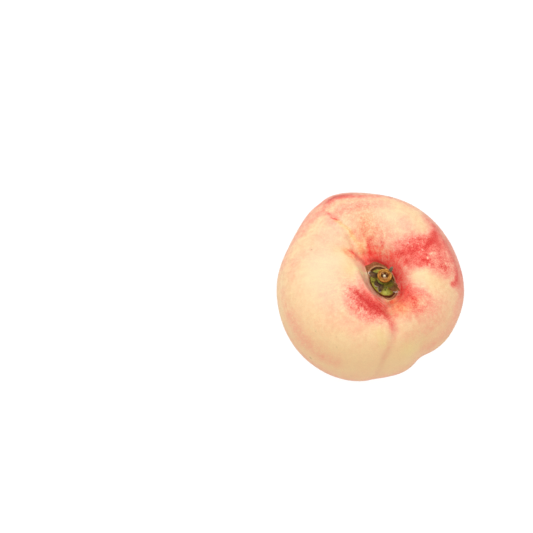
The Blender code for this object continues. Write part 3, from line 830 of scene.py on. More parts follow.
# The seat's relief along those lines
seatShape = {
    "ragged": ((0.9 * mm, 0.10 * mm, 61), (0.4 * mm, 0.05 * mm, 62)),
    "corkFade": 0.30 * mm,
    "corkRough": ((0.8 * mm, 0.10 * mm, 9),),
    "ridgeWidth": 0.26 * mm,
    "ridgeHeight": 0.20 * mm,
    "grooveWidth": 0.40 * mm,
    "grooveDepth": 0.34 * mm,
    "creviceEdge": 0.28 * mm,
    "creviceFade": 0.25 * mm,
    "floorDrop": 0.25 * mm,     # the skin goes on lower under the pad
    "floorFade": 0.6 * mm,
    # On that side the cork is paler and the crevice's painted shade lighter
    "paleSide": ((228, 36, 1.2),),  # where cork and crevice are paler: (turn, spread, strength)
}

# The flower end: a corky scar with short cracks round it
flowerEnd = {
    "scarRadius": 2.0 * mm,
    "scarFade": 0.5 * mm,
    "scarDepth": 0.30 * mm,
    "scarRough": ((0.7 * mm, 0.16 * mm, 82),),
    "scarRagged": 4,
    "crackPlace": 2.6 * mm,
    "crackReach": 1.7 * mm,
    "crackDepth": 0.25 * mm,
    "crackCount": 3,
    "crackWave": (0.2, 1 / 3),  # where the noise is past this, a crack runs
    "crackSeed": 81,
    "crackStain": 0.8,
}

strokeSteps = 12    # points from one station of a stroke to the next
strokeReach = 2.4   # half widths past which a stroke has faded out


def strokePath(path):
    # Points close together on the skin along a stroke's stations, with the level at each
    turns, rings, levels = (np.array(column, float) for column in zip(*path))
    turns = np.degrees(np.unwrap(np.radians(turns)))
    steps = np.linspace(0, len(path) - 1, strokeSteps * (len(path) - 1) + 1)
    index = np.arange(len(path))
    turn, ring, level = (np.interp(steps, index, column) for column in (turns, rings, levels))
    return fruitPoint(np.radians(turn), ring), level


def strongest(covers, power=4):
    # The strongest of several covers, where near equals blend
    return np.minimum(sum(cover ** power for cover in covers) ** (1 / power), 1)


def laidOn(points, strokes):
    # The level that the strokes give each point
    covers = []
    for width, path in strokes:
        line, level = strokePath(path)
        reach = width * mm * strokeReach
        near = np.all((points > line.min(0) - reach) & (points < line.max(0) + reach), axis=1)
        cover = np.zeros(len(points))
        for spot, strength in zip(line, level):
            away = ((points[near] - spot) ** 2).sum(1)
            cover[near] = np.maximum(cover[near], strength * np.exp(-away / (width * mm) ** 2))
        covers.append(cover)
    return strongest(covers)


def speckled(points, specks):
    cover = np.zeros(len(points))
    for turn, ring, radius in specks:
        spot = fruitPoint(np.radians([turn]), np.array([float(ring)]))[0]
        away = np.linalg.norm(points - spot, axis=1)
        cover = np.maximum(cover, np.exp(-((away / (radius * mm)) ** 2)))
    return cover


def lineRing(angle, stations):
    turns, rings = (np.array(column, float) for column in zip(*stations))
    turn = (np.degrees(angle) + 90) % 360 - 90
    return np.interp(turn, turns, rings)


def makeSkinMaterial():
    m = Maker("peachSkin")
    c = skinColours
    broad = m.grain(170)             # lumps of about 6 mm
    mottle = m.grain(620)            # 1.6 mm
    stipple = m.grain(2100, 1, 0.6)  # 0.5 mm
    fine = m.grain(3600, 1)          # 0.3 mm
    flecks = m.spots(760, 0.10, 0.30)
    streaks = m.grain(3.0, 2, 0.55, m.attribute("streak", "Vector"))

    # The red breaks up into dots where it is thin, and runs in fine streaks out of the cavity
    red = m.attribute("red")
    dotted = m.attribute("dotted")
    dots = m.add(m.remap(stipple, 0.36, 0.64, -1.1, 1.1), m.remap(mottle, 0.3, 0.7, -0.6, 0.6))
    dots = m.multiply(dots, m.remap(dotted, 0, 1, 0.42, 0.9))
    dots = m.add(dots, m.remap(streaks, 0.3, 0.7, -0.5, 0.5))
    reach = m.add(m.multiply(m.multiply(red, m.math("SUBTRACT", 1.2, red)), 0.46), 0.02)
    level = m.add(red, m.multiply(dots, reach))
    lost = m.multiply(m.multiply(flecks, red), m.remap(dotted, 0, 1, 0.02, 0.26))
    level = m.math("SUBTRACT", level, lost)
    level = m.add(level, m.remap(broad, 0.3, 0.7, -0.01, 0.05), clamp=True)

    cream = m.blend(mottle, 0.36, 0.64, c["cream"])
    # Painted highlight: lighter cream on the crests where the light falls
    cream = m.laid("paintedHighlight", cream, c["highlightCream"])
    # Painted shade: deeper cream low on the flank and in front
    cream = m.laid("front", cream, c["shadedCream"])
    cream = m.laid("green", cream, c["greenCream"])
    colour = m.tint(cream, m.ramp(level, c["stain"]))
    warm = m.multiply(m.attribute("warm"), m.remap(level, 0.0, 0.3))
    colour = m.mix(warm, colour, m.tint(colour, c["warmer"]))
    glow = m.tint(colour, c["lighter"])
    glow.node.clamp_result = True
    colour = m.laid("lit", colour, glow)
    # Painted shade: the skin is dulled and darkened where the shade strokes lie
    colour = m.laid("paintedShade", colour, m.tint(colour, c["shadeTint"]))
    # Painted sheen and shade: the greyish veil of the down at the turned-away edges
    colour = m.mix(m.multiply(m.attribute("paintedEdgeHaze"), 0.7), colour, c["paintedEdgeHaze"])
    colour = m.tint(colour, m.blend(fine, 0.3, 0.7, c["fine"]))
    colour = m.laid("darkSpeck", colour, c["darkSpeck"])
    colour = m.laid("whiteSpeck", colour, c["whiteSpeck"])
    colour = m.laid("scar", colour, m.blend(stipple, 0.3, 0.7, c["scar"]))

    # Cork round the seat, with its groove darkened as painted shade and its paler ridge
    pale = m.attribute("paleEdge")
    cork, paleCork = (m.blend(stipple, 0.3, 0.7, c[name]) for name in ("cork", "paleCork"))
    colour = m.laid("cork", colour, m.mix(pale, cork, paleCork))
    colour = m.laid("ridge", colour, m.blend(fine, 0.3, 0.7, c["ridge"]))
    dark, paleDark = (m.blend(stipple, 0.3, 0.7, c[name]) for name in ("shadedCrevice", "lessShadedCrevice"))
    colour = m.laid("shadedCrevice", colour, m.mix(pale, dark, paleDark))
    m.bump(m.add(m.multiply(stipple, 0.6), m.multiply(fine, 0.4)), 0.35, 0.10 * mm)
    return m.finish(colour, 0.58, 0.22, {
        "Sheen Weight": 0.05,
        "Sheen Roughness": 0.45,
        "Sheen Tint": (1.0, 0.93, 0.88, 1),
        "Subsurface Weight": 0.06,
        "Subsurface Radius": (1.0, 0.45, 0.25),
        "Subsurface Scale": 0.6 * mm,
    })


def skinDirections(angle, ring):
    # Outward normals from the surface's own directions, and how many metres one ring is there
    step, fromPole = 2e-3, 1e-6
    roundIt = fruitPoint(angle + step, ring) - fruitPoint(angle - step, ring)
    low = np.maximum(ring - step, fromPole)
    high = np.minimum(ring + step, fruit["lastRing"] - fromPole)
    downIt = fruitPoint(angle, high) - fruitPoint(angle, low)
    normal = np.cross(downIt, roundIt)
    normal /= np.maximum(np.linalg.norm(normal, axis=1, keepdims=True), tiny)
    normal[0], normal[-1] = (0, 0, 1), (0, 0, -1)
    return normal, np.linalg.norm(downIt, axis=1) / (high - low)


def seatRelief(point, angle, ring, ringSize, ragged):
    # The lift of the skin at the seat's lines, and how strongly each of them shows
    s = seatShape

    def beyond(name):
        return (ring - lineRing(angle, seatLines[name])) * ringSize + ragged

    toCrevice = beyond("shadedCrevice")
    shows = {
        "cork": np.clip(0.5 - beyond("skinEdge") / s["corkFade"], 0, 1),
        "ridge": np.exp(-((beyond("ridge") / s["ridgeWidth"]) ** 2)),
        # The crevice's painted shade and how strongly it shows
        "shadedCrevice": np.clip(0.5 - (toCrevice - s["creviceEdge"]) / s["creviceFade"], 0, 1),
        "paleEdge": np.clip(lobes(angle, s["paleSide"]), 0, 1),
    }
    groove = np.exp(-((toCrevice / s["grooveWidth"]) ** 2))
    lift = s["ridgeHeight"] * shows["ridge"] - s["grooveDepth"] * groove
    lift -= s["floorDrop"] * np.clip(-toCrevice / s["floorFade"], 0, 1)
    lift += shows["cork"] * waves(point, s["corkRough"])
    return lift, shows


def flowerEndRelief(point, angle, ring, ringSize, ragged):
    e = flowerEnd
    fromEnd = (fruit["lastRing"] - ring) * ringSize
    wave = softNoise(ringPoints(angle, e["crackCount"], 0), 1.0, e["crackSeed"])
    crack = evenly(wave, *e["crackWave"])
    crack *= np.exp(-((fromEnd - e["crackPlace"]) / e["crackReach"]) ** 2)
    toScar = fromEnd - e["scarRadius"] - e["scarRagged"] * ragged
    scar = np.clip(0.5 - toScar / e["scarFade"], 0, 1)
    lift = scar * (waves(point, e["scarRough"]) - e["scarDepth"]) - e["crackDepth"] * crack * (1 - scar)
    return lift, {"scar": np.maximum(scar, e["crackStain"] * crack)}


def skinRed(point, loose):
    # Broad strokes lie where they are drawn, and fine ones wander
    strokes = [stroke for group in redStrokes.values() for stroke in group]
    broad = laidOn(point, [stroke for stroke in strokes if stroke[0] >= skin["fineStroke"]])
    fine = laidOn(loose, [stroke for stroke in strokes if stroke[0] < skin["fineStroke"]])
    return strongest((broad, fine)) * (1 - laidOn(point, paleStrokes))


def makeSkin():
    s = skin
    columns = s["columns"]
    starts = [station[0] for station in s["rowStations"]] + [fruit["lastRing"]]
    stations = zip(s["rowStations"], starts[1:])
    rings = [a + (b - a) * k / n for (a, n), b in stations for k in range(n)] + [fruit["lastRing"]]
    rows = len(rings) - 2
    ring, angle = poleToPole(np.array(rings, float), columns), poleAngles(rows, columns)
    point = fruitPoint(angle, ring)
    normal, ringSize = skinDirections(angle, ring)

    ragged = waves(point, seatShape["ragged"])
    seatLift, seatShows = seatRelief(point, angle, ring, ringSize, ragged)
    endLift, endShows = flowerEndRelief(point, angle, ring, ringSize, ragged)
    free = eased(ring, s["undulationRings"]) * evenly(point[:, 2], *s["soleRise"])
    lift = (waves(point, s["undulation"]) - s["inset"]) * free + seatLift + endLift
    place = point + normal * lift[:, None]
    place[:, 2] = np.maximum(place[:, 2], 0)

    # The strokes are laid on a slightly wandering copy of the points, so that no edge is drawn
    # with a ruler
    loose = point.copy()
    steady = eased(ring, s["wanderRings"])
    for size, reach, seed in s["wander"]:
        for axis in range(3):
            loose[:, axis] += reach * steady * softNoise(point, size, seed + axis)
    # Painted shade: how much deeper cream lies low down and in front
    front = evenly(-point[:, 1], *s["frontSide"]) * evenly(ring, *s["frontRings"])
    front = np.minimum(front + s["lowShare"] * evenly(ring, *s["lowRings"]), 1)
    roundStem, downRings = s["streakSpread"]
    bare = (place[:, 2] <= s["lowestDown"]) | (ring >= s["lastDownyRing"])
    attributes = {
        "red": skinRed(point, loose),
        "dotted": laidOn(loose, dottedStrokes),
        "warm": laidOn(loose, warmStrokes),
        "paintedHighlight": laidOn(loose, paintedHighlightStrokes),
        "green": np.maximum(laidOn(loose, greenStrokes), eased(ring, s["greenRings"])),
        "front": front,
        "paintedEdgeHaze": laidOn(loose, edgeHazeStrokes),
        "paintedShade": laidOn(loose, paintedShadeStrokes),
        "darkSpeck": speckled(point, darkSpecks),
        "whiteSpeck": speckled(point, whiteSpecks),
        "lit": np.maximum(eased(ring, s["litRings"]), laidOn(point, litStrokes)),
        "downy": eased(ring, s["downyRings"]) * ~bare,
        "streak": ringPoints(angle, roundStem, downRings * ring),
        **seatShows,
        **endShows,
    }
    return meshPiece("fruitSkin", place, poleFaces(rows, columns), makeSkinMaterial(), attributes)


skinPiece = makeSkin()
print("skin made:", len(skinPiece.data.polygons), "faces")


# The down: short fine hairs set all over the skin by a Geometry Nodes tree, in three layers
down = {
    "layers": 3,
    "hairsInLayer": 46000,
    "length": 0.28 * mm,
    "width": 0.022 * mm,
    "lean": 0.75,
    "leastLean": 0.1,    # shares of the lean and of the length
    "leastLength": 0.45,
    "firstSeed": 11,
    "seedStep": 7,
    "colour": seen(216, 178, 150),
    "roughness": 0.7,
    "specular": 0.2,
}

downInputs = {
    "Skin": "Geometry",
    "Hairs per square metre": "Float",
    "Hair length": "Float",
    "Hair width": "Float",
    "Lean": "Float",
    "Seed": "Int",
}


def makeDownTree(material):
    tree = bpy.data.node_groups.new("downOnSkin", "GeometryNodeTree")
    for name, kind in downInputs.items():
        tree.interface.new_socket(name, in_out="INPUT", socket_type="NodeSocket" + kind)
    tree.interface.new_socket("Down", in_out="OUTPUT", socket_type="NodeSocketGeometry")
    nodes, links = tree.nodes, tree.links
    given = nodes.new("NodeGroupInput").outputs
    out = nodes.new("NodeGroupOutput")

    def join(kind, sources):
        # A new node with these outputs of others joined to its inputs
        node = nodes.new(kind)
        for name, source in sources.items():
            links.new(source, node.inputs[name])
        return node

    def product(a, b):
        node = join("ShaderNodeMath", {0: a, 1: b})
        node.operation = "MULTIPLY"
        return node.outputs[0]

    def anyFrom(low, high, shift):
        # A number between these for each hair, by the seed shifted
        seed = join("ShaderNodeMath", {0: given["Seed"]})
        seed.operation = "ADD"
        seed.inputs[1].default_value = shift
        node = join("FunctionNodeRandomValue", {"Seed": seed.outputs[0]})
        node.data_type = "FLOAT"
        node.inputs[2].default_value = low
        node.inputs[3].default_value = high
        return node.outputs[1]

    def turnedBy(rotation, turn):
        node = join("FunctionNodeRotateRotation", {0: rotation, 1: turn.outputs[0]})
        node.rotation_space = "LOCAL"
        return node.outputs[0]

    # Points on the skin, none where it is bare
    downy = nodes.new("GeometryNodeInputNamedAttribute")
    downy.inputs["Name"].default_value = "downy"
    scatter = join("GeometryNodeDistributePointsOnFaces", {
        "Mesh": given["Skin"],
        "Density": product(given["Hairs per square metre"], downy.outputs["Attribute"]),
        "Seed": given["Seed"],
    })

    # One hair: a three-sided needle as long and thick as 1
    needle = nodes.new("GeometryNodeMeshCone")
    needle.inputs["Vertices"].default_value = 3
    needle.inputs["Radius Top"].default_value = 0
    needle.inputs["Radius Bottom"].default_value = 0.5
    needle.inputs["Depth"].default_value = 1

    # Each hair is turned round, leans its own way and has its own length
    spin = join("ShaderNodeCombineXYZ", {"Z": anyFrom(0, 2 * math.pi, 101)})
    lean = product(given["Lean"], anyFrom(down["leastLean"], 1, 202))
    tilt = join("ShaderNodeCombineXYZ", {"X": lean})
    length = product(given["Hair length"], anyFrom(down["leastLength"], 1, 303))
    width = given["Hair width"]
    size = join("ShaderNodeCombineXYZ", {"X": width, "Y": width, "Z": length})
    hairs = join("GeometryNodeInstanceOnPoints", {
        "Points": scatter.outputs["Points"],
        "Instance": needle.outputs["Mesh"],
        "Rotation": turnedBy(turnedBy(scatter.outputs["Rotation"], spin), tilt),
        "Scale": size.outputs[0],
    })
    realize = join("GeometryNodeRealizeInstances", {0: hairs.outputs[0]})
    paint = join("GeometryNodeSetMaterial", {"Geometry": realize.outputs[0]})
    paint.inputs["Material"].default_value = material
    links.new(paint.outputs[0], out.inputs["Down"])
    return tree


def socketId(tree, name):
    return next(s.identifier for s in tree.interface.items_tree if s.name == name)


def makeDown(skinObject):
    material = Maker("paleDown").finish(down["colour"], down["roughness"], down["specular"])
    tree = makeDownTree(material)
    mesh = skinObject.data
    areas = np.empty(len(mesh.polygons))
    mesh.polygons.foreach_get("area", areas)
    pieces = []
    for layer in range(down["layers"]):
        name = f"down{layer + 1}"
        holder = bpy.data.objects.new("downHolder", mesh)
        bpy.context.scene.collection.objects.link(holder)
        modifier = holder.modifiers.new("down", "NODES")
        modifier.node_group = tree
        modifier[socketId(tree, "Hairs per square metre")] = down["hairsInLayer"] / float(areas.sum())
        modifier[socketId(tree, "Hair length")] = down["length"]
        modifier[socketId(tree, "Hair width")] = down["width"]
        modifier[socketId(tree, "Lean")] = down["lean"]
        modifier[socketId(tree, "Seed")] = down["firstSeed"] + down["seedStep"] * layer
        evaluated = holder.evaluated_get(bpy.context.evaluated_depsgraph_get())
        hairs = bpy.data.meshes.new_from_object(evaluated)
        hairs.name = name
        holder.modifiers.remove(modifier)
        bpy.data.objects.remove(holder)
        piece = bpy.data.objects.new(name, hairs)
        bpy.context.scene.collection.objects.link(piece)
        pieces.append(piece)
        print("down layer", layer + 1, len(hairs.polygons), "faces")
    return pieces


downPieces = makeDown(skinPiece)

# Places of the small pieces in the cavity, from the boxes of the CAD nodes that they stand for
padLow, padHigh = (np.array(corner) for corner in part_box("receptacle"))
calyxLow, calyxHigh = (np.array(corner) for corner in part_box("calyx"))
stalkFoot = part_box("stalk")[0][2]
padMiddle = (padLow + padHigh) / 2


def patchCover(place, patches):
    # Soft round patches on a piece, each (x mm, y mm, half width mm, strength)
    cover = np.zeros(len(place))
    for x, y, width, strength in patches:
        away = np.hypot(place[:, 0] - x * mm, place[:, 1] - y * mm) / (width * mm)
        cover = np.maximum(cover, strength * np.exp(-away ** 2))
    return cover


# The pad: a flattened cushion with lumps, brown pits, a darker edge and lighter patches painted as
# highlights
pad = {
    "length": 12.8 * mm,
    "width": 8.6 * mm,
    "thickness": 2.6 * mm,
    "turn": math.radians(124),
    "flatness": 0.75,           # below 1 the top is flatter than a ball's
    "columns": 160,
    "rows": 80,
    "lumps": ((1.6 * mm, 0.16 * mm, 21), (0.6 * mm, 0.07 * mm, 22)),
    "topDrop": 0.16 * mm,       # so that the lumps stay inside the thickness
    "edgeWaver": (0.05, 0.9 * mm, 23),  # share of the width, size, seed
    "pitDepth": 0.30 * mm,
    "edgeStart": 0.86,
    "edgeFade": 0.09,
    # (x mm, y mm, half width mm, strength)
    # Painted highlights: lighter green patches where light falls on the pad
    "padHighlight": (
        (0.9, -0.9, 0.9, 0.8), (1.7, -1.9, 1.1, 1.0), (2.5, -3.2, 0.8, 0.7), (6.2, -7.2, 1.5, 0.6),
        (7.2, -5.4, 1.2, 0.7), (5.2, -7.3, 0.8, 0.7), (3.1, 1.8, 0.6, 0.8),
    ),
    "olive": ((7.9, -3.3, 1.6, 1.0), (8.3, -1.8, 1.4, 1.0), (2.0, 0.6, 1.2, 0.8), (3.4, -5.2, 1.3, 0.5)),
    "brown": (
        (5.5, -6.4, 0.36, 0.9), (6.1, -5.6, 0.30, 0.9), (5.2, -5.7, 0.22, 0.6), (7.0, -6.6, 0.20, 0.6),
        (6.4, -7.9, 0.18, 0.5), (1.9, -3.4, 0.50, 1.0), (0.9, -3.2, 0.34, 0.9), (1.4, -2.5, 0.2, 0.6),
    ),
    "colours": {
        "green": (seen(138, 138, 28), seen(172, 172, 62)),
        "olive": seen(104, 100, 10),
        "padHighlight": (seen(170, 180, 58), seen(206, 212, 108)),
        "frost": seen(190, 190, 96),
        "spots": seen(112, 84, 14),
        "brown": seen(72, 36, 10),
        "edge": seen(92, 52, 14),
    },
}


def makePadMaterial():
    m = Maker("greenPad")
    c = pad["colours"]
    grain = m.grain(1100, 3, 0.6)
    green = m.blend(m.grain(360), 0.35, 0.65, c["green"])
    green = m.laid("olive", green, c["olive"])
    # Painted highlights: lighter green where light falls on the pad
    green = m.laid("padHighlight", green, m.blend(grain, 0.35, 0.65, c["padHighlight"]))
    green = m.mix(m.remap(grain, 0.45, 0.7, 0.0, 0.4), green, c["frost"])
    green = m.mix(m.multiply(m.spots(620, 0.12, 0.28), 0.35), green, c["spots"])
    green = m.laid("brown", green, c["brown"])
    green = m.laid("edge", green, c["edge"])
    m.bump(grain, 0.4, 0.12 * mm)
    return m.finish(green, 0.5, 0.25)


def makePad():
    p = pad
    rows, columns = p["rows"], p["columns"]
    polar, angle = poleToPole(np.linspace(0, np.pi, rows + 2), columns), poleAngles(rows, columns)
    ball = ringPoints(angle, np.sin(polar), np.cos(polar))
    ball[:, 2] = np.sign(ball[:, 2]) * np.abs(ball[:, 2]) ** p["flatness"]
    local = ball * (p["length"] / 2, p["width"] / 2, p["thickness"] / 2)
    onTop = ball[:, 2] > 0
    local[:, 2] += (waves(local, p["lumps"]) - p["topDrop"]) * np.abs(ball[:, 2]) * onTop
    share, size, seed = p["edgeWaver"]
    waver = share * np.sin(polar) ** 6 * (1 + softNoise(local, size, seed))
    local[:, :2] *= (1 - waver)[:, None]
    along, across = math.cos(p["turn"]), math.sin(p["turn"])
    place = padMiddle + np.stack([
        local[:, 0] * along - local[:, 1] * across,
        local[:, 0] * across + local[:, 1] * along,
        local[:, 2],
    ], -1)
    brown = patchCover(place, p["brown"])
    place[:, 2] -= p["pitDepth"] * brown * onTop
    attributes = {
        "edge": evenly(np.sin(polar), p["edgeStart"], p["edgeFade"]),
        "brown": brown,
        "padHighlight": patchCover(place, p["padHighlight"]),
        "olive": patchCover(place, p["olive"]),
    }
    return meshPiece("padFlesh", place, poleFaces(rows, columns), makePadMaterial(), attributes)


# The stalk's stub: a turned profile with a rolled rim, hollows and ribs round its pith, its neck
# darkened as painted shade
stalk = {
    "radius": 2.75 * mm,
    "length": 3.6 * mm,
    "lean": math.radians(7),
    "offset": np.array([0.33 * mm, 1.0 * mm, 0]),  # from the middle of the pad
    "footShare": 0.62,          # radius of the foot, as a share of the stub's
    "columns": 144,
    "rowsPerStation": 5,
    # (share of the radius, depth below the cut mm), from the pith over the rolled rim and down the neck
    "profile": (
        (0.00, 0.30), (0.08, 0.32), (0.14, 0.46), (0.20, 0.90), (0.34, 0.95), (0.46, 0.75), (0.53, 0.35),
        (0.59, 0.08), (0.65, 0.06), (0.71, 0.20), (0.77, 0.22), (0.83, 0.02), (0.90, 0.00), (0.97, 0.24),
        (1.00, 0.70), (0.97, 1.15), (0.89, 1.55), (0.80, 1.95), (0.72, 2.35), (0.70, 2.75), (0.72, 3.10),
        (0.66, 3.42), (0.58, 3.58), (0.00, 3.60),
    ),
    "topEnds": (13.0, 1.5),     # (station, over) at which the top gives way to the neck
    # Painted shade: where the dark neck below the rim begins
    "neckShadeStarts": (13.2, 1.2),
    # Hollows and ribs: (turn, spread, strength), then (share of the radius, spread) and height mm
    "hollows": ((176, 24, 1.0), (8, 24, 1.0), (72, 12, 0.8)),
    "hollowRing": (0.36, 0.13),
    "hollowDepth": 0.35,
    "ribs": ((130, 16, 1.0), (48, 13, 0.9), (280, 34, 1.0)),
    "ribRing": (0.40, 0.13),
    "ribHeight": 0.50,
    # Noise round the stub: (waves round, waves a station, seed)
    "unevenWaves": (4, 0.25, 31),
    "unevenness": 0.09,
    "unevenStarts": (0.15, 0.1),
    "notchWaves": (2.2, 0.05, 32),
    "notchDepth": 0.030,
    "notchStart": 0.3,
    "barkWaves": (6, 0.22, 33),
    "barkDepth": 0.03,
    "slimmer": 0.965,           # so that the notched rim stays inside the radius
    "lineRings": ((0.53, 0.045), (0.75, 0.045)),
    "recessRing": (0.33, 0.17),
    "pithRing": (0.18, 0.06),
    "colours": {
        "wood": (seen(168, 102, 28), seen(228, 166, 74)),
        "darkGrain": seen(122, 68, 20),
        "ringLine": seen(96, 48, 12),
        "recess": seen(116, 62, 20),
        "rib": (seen(164, 100, 50), seen(222, 172, 122)),
        "hollow": seen(70, 34, 8),
        "pith": (seen(214, 198, 148), seen(246, 236, 208)),
        # Painted shade: the neck below the rim, dark as in the rim's shadow
        "side": (seen(62, 40, 16), seen(112, 82, 36)),
    },
}


def makeWoodMaterial():
    m = Maker("cutWood")
    c = stalk["colours"]
    grain = m.grain(1700, 3, 0.6)
    lump = m.grain(620)
    wood = m.blend(lump, 0.35, 0.65, c["wood"])
    wood = m.mix(m.remap(grain, 0.45, 0.70, 0.0, 0.8), wood, c["darkGrain"])
    wood = m.mix(m.multiply(m.attribute("ringLine"), 0.9), wood, c["ringLine"])
    wood = m.laid("recess", wood, c["recess"])
    wood = m.laid("rib", wood, m.blend(grain, 0.35, 0.65, c["rib"]))
    wood = m.laid("hollow", wood, c["hollow"])
    wood = m.laid("pith", wood, m.blend(grain, 0.3, 0.7, c["pith"]))
    # Painted shade on the neck below the rim
    wood = m.laid("side", wood, m.blend(lump, 0.35, 0.65, c["side"]))
    m.bump(grain, 0.5, 0.10 * mm)
    return m.finish(wood, 0.6, 0.2)


def makeStalk():
    s = stalk
    columns = s["columns"]
    stations = np.array(s["profile"])
    last = len(stations) - 1
    steps = np.linspace(0, last, s["rowsPerStation"] * last + 1)
    share, below = (np.interp(steps, np.arange(last + 1), column) for column in stations.T)
    for row in (share, below) * 2:  # round off the corners, twice
        row[1:-1] = (row[:-2] + 2 * row[1:-1] + row[2:]) / 4
    rows = len(steps) - 2
    share, below, step = (poleToPole(row, columns) for row in (share, below, steps))
    angle = poleAngles(rows, columns)
    topEnd, topFade = s["topEnds"]
    onTop = 1 - evenly(step, topEnd, topFade)

    def ringShape(ring, power=2):
        middle, spread = ring
        return np.exp(-((share - middle) / spread) ** power) * onTop

    def wavesOf(name):
        turns, along, seed = s[name]
        return softNoise(ringPoints(angle, turns, step * along), 1.0, seed)

    hollow = np.clip(lobes(angle, s["hollows"]), 0, 1) * ringShape(s["hollowRing"])
    rib = np.clip(lobes(angle, s["ribs"]), 0, 1) * ringShape(s["ribRing"])
    uneven = wavesOf("unevenWaves")
    below = below + s["hollowDepth"] * hollow - s["ribHeight"] * rib
    below = below + s["unevenness"] * uneven * onTop * evenly(share, *s["unevenStarts"])
    below = np.maximum(below, 0.0)
    notches = s["notchDepth"] * wavesOf("notchWaves") * (share > s["notchStart"])
    bark = s["barkDepth"] * wavesOf("barkWaves") * (1 - onTop)
    radius = share * s["radius"] * (s["slimmer"] + notches + bark)
    local = ringPoints(angle, radius, s["length"] - below * mm)

    # The stub leans: its foot stands where the CAD node's does
    upright, aside = math.cos(s["lean"]), math.sin(s["lean"])
    foot = padMiddle + s["offset"]
    foot[2] = stalkFoot + s["footShare"] * s["radius"] * aside
    place = foot + np.stack([
        local[:, 0] * upright + local[:, 2] * aside,
        local[:, 1],
        local[:, 2] * upright - local[:, 0] * aside,
    ], -1)
    lines = sum(ringShape(ring) for ring in s["lineRings"])
    attributes = {
        "ringLine": np.clip(lines * (0.75 + 0.5 * uneven), 0, 1),
        "recess": ringShape(s["recessRing"], 4),
        "rib": rib,
        "hollow": np.clip(hollow * 1.15, 0, 1),
        "pith": (1 - evenly(share, *s["pithRing"])) * onTop,
        "side": evenly(step, *s["neckShadeStarts"]),
    }
    return meshPiece("cutStalk", place, poleFaces(rows, columns), makeWoodMaterial(), attributes)


# The dry calyx: a frayed, crumpled collar with the rests of five sepals, darkest at its root under the
# stub as painted shadow
calyx = {
    "collar": (2.4 * mm, 3.0 * mm, 0.8 * mm),  # inner and outer radius, thickness
    # (turn, spread, reach past the collar mm, lift of the tip mm)
    "sepals": (
        (161, 12, 3.0, 1.0), (220, 15, 1.3, 0.1), (256, 11, 2.8, -0.2), (315, 16, 5.2, 1.5),
        (47, 8, 2.1, 2.6),
    ),
    "bluntness": 2.6,
    "rise": 0.7 * mm,           # the collar's middle over the pad
    "thicknessShares": (0.85, 0.35),  # at the inner edge and at the outer
    "fray": (0.93, 0.35, 0.18),  # the usual reach, how far the fray changes it, and its highest level
    # (teeth round it, strength, seed)
    "frays": ((7, 0.55, 41), (17, 0.45, 42)),
    "crumple": (1.3 * mm, 0.42 * mm, 43),  # size, height, seed
    "wrinkle": (13, 1.3, 0.14 * mm, 44),   # waves round, waves across, height, seed
    "crumpleReach": (-0.45 * mm, 1.5 * mm),  # (start, over): the longer a lobe, the more it crumples
    "columns": 480,
    "rows": 32,
    # Where the colours lie round it: (turn, spread, strength)
    "rust": ((313, 17, 1.0),),
    "greyGreen": ((47, 12, 1.0),),
    "fresh": ((290, 14, 1.4), (316, 12, 1.2), (188, 9, 1.2)),
    # And how they lie across it: (start, over), shares of the way out or metres
    "rustAcross": (0.3, 0.5),
    "greyAcross": (0, 2 / 3),
    "tipAcross": (0.90, 0.09),
    "tipReach": (0, 1.4 * mm),
    "freshRadius": (4.2 * mm, 0.7 * mm),
    # Painted shadow: how far out from the stub the dark root reaches
    "stubShadowWidth": 1.3 * mm,
    "colours": {
        "dry": (seen(50, 33, 16), seen(100, 70, 40)),
        "streak": seen(146, 114, 80),
        "rust": (seen(84, 48, 14), seen(160, 92, 30)),
        "greyGreen": (seen(92, 94, 66), seen(140, 140, 112)),
        # Painted shadow: the root of the collar, under the stub
        "root": seen(40, 24, 10),
        "fresh": (seen(84, 76, 14), seen(128, 116, 30)),
        # Pale tips: the dry edges' own pallor, with painted glints
        "tip": (seen(196, 176, 156), seen(238, 224, 212)),
    },
}


def makeCalyxMaterial():
    m = Maker("dryCalyx")
    c = calyx["colours"]
    grain = m.grain(1500, 3, 0.6)
    patch = m.grain(480)
    streaks = m.grain(2.6, vector=m.attribute("streak", "Vector"))
    dry = m.blend(patch, 0.35, 0.65, c["dry"])
    dry = m.mix(m.remap(streaks, 0.52, 0.76), dry, c["streak"])
    dry = m.laid("rust", dry, m.blend(grain, 0.35, 0.65, c["rust"]))
    dry = m.laid("greyGreen", dry, m.blend(grain, 0.3, 0.7, c["greyGreen"]))
    # Painted shadow under the stub
    dry = m.laid("root", dry, c["root"])
    dry = m.laid("fresh", dry, m.blend(grain, 0.3, 0.7, c["fresh"]))
    # Pale tips: the dry edges' own pallor, with painted glints
    pale = m.multiply(m.attribute("tip"), m.remap(patch, 0.46, 0.58))
    dry = m.mix(pale, dry, m.blend(patch, 0.35, 0.65, c["tip"]))
    m.bump(m.add(grain, streaks), 0.6, 0.12 * mm)
    return m.finish(dry, 0.75, 0.25)


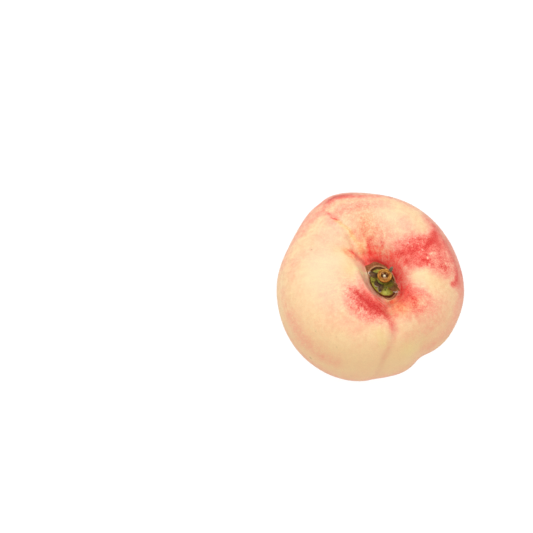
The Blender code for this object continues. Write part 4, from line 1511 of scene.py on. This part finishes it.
def makeCalyx():
    c = calyx
    inner, outer, thickness = c["collar"]
    columns, rows = c["columns"], c["rows"]
    angle = np.repeat(np.arange(columns) * 2 * np.pi / columns, rows)
    section = np.tile(np.arange(rows) * 2 * np.pi / rows, columns)
    across = 0.5 - 0.5 * np.cos(section)
    side = 0.5 * np.sin(section)
    reach, lift = np.zeros_like(angle), np.zeros_like(angle)
    for middle, spread, length, rise in c["sepals"]:
        off = np.abs((np.degrees(angle) - middle + 180) % 360 - 180)
        share = np.exp(-0.5 * (off / spread) ** c["bluntness"])
        reach += length * mm * share
        lift += rise * mm * share
    usual, change, most = c["fray"]
    frayed = sum(strength * softNoise(ringPoints(angle, teeth, 0), 1.0, seed)
                 for teeth, strength, seed in c["frays"])
    reach = reach * (usual + change * np.minimum(frayed, most))
    radius = inner + (outer - inner + reach) * across

    lumps, crumple, crumpleSeed = c["crumple"]
    roundIt, acrossIt, wrinkle, wrinkleSeed = c["wrinkle"]
    uneven = wrinkle * softNoise(ringPoints(angle, roundIt, across * acrossIt), 1.0, wrinkleSeed)
    uneven += crumple * across * softNoise(ringPoints(angle, radius, 0), lumps, crumpleSeed)
    thick, thin = c["thicknessShares"]
    height = thickness * side * (thick + (thin - thick) * across) + lift * across**2
    height += uneven * evenly(reach, *c["crumpleReach"])
    middle = padMiddle + stalk["offset"]
    middle[2] = padHigh[2] + c["rise"]
    place = middle + ringPoints(angle, radius, height)
    place[:, 2] = np.clip(place[:, 2], calyxLow[2], calyxHigh[2])
    faces = []
    for j in range(columns):
        k = (j + 1) % columns
        for i in range(rows):
            n = (i + 1) % rows
            faces.append((j * rows + i, j * rows + n, k * rows + n, k * rows + i))

    def turnsOf(name):
        return np.clip(lobes(angle, c[name]), 0, 1)

    attributes = {
        "streak": ringPoints(angle, 9, across),
        # Pale tips: the dry edges' own pallor, with painted glints
        "tip": evenly(across, *c["tipAcross"]) * evenly(reach, *c["tipReach"]),
        "rust": turnsOf("rust") * evenly(across, *c["rustAcross"]),
        "greyGreen": turnsOf("greyGreen") * evenly(across, *c["greyAcross"]),
        "fresh": turnsOf("fresh") * (1 - evenly(radius, *c["freshRadius"])),
        "root": 0.8 * (1 - evenly(radius, inner, c["stubShadowWidth"])),
    }
    return meshPiece("dryCalyx", place, faces, makeCalyxMaterial(), attributes)


padPiece = makePad()
stalkPiece = makeStalk()
calyxPiece = makeCalyx()
print("pad, stalk and calyx made")

for piece, node, finish in (
    (skinPiece, "fruit", "skin"),
    (padPiece, "receptacle", "green_pad"),
    (stalkPiece, "stalk", "cut_wood"),
    (calyxPiece, "calyx", "dry_calyx"),
):
    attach(piece, "root")
    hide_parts(node)
for piece in downPieces:
    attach(piece, "root")
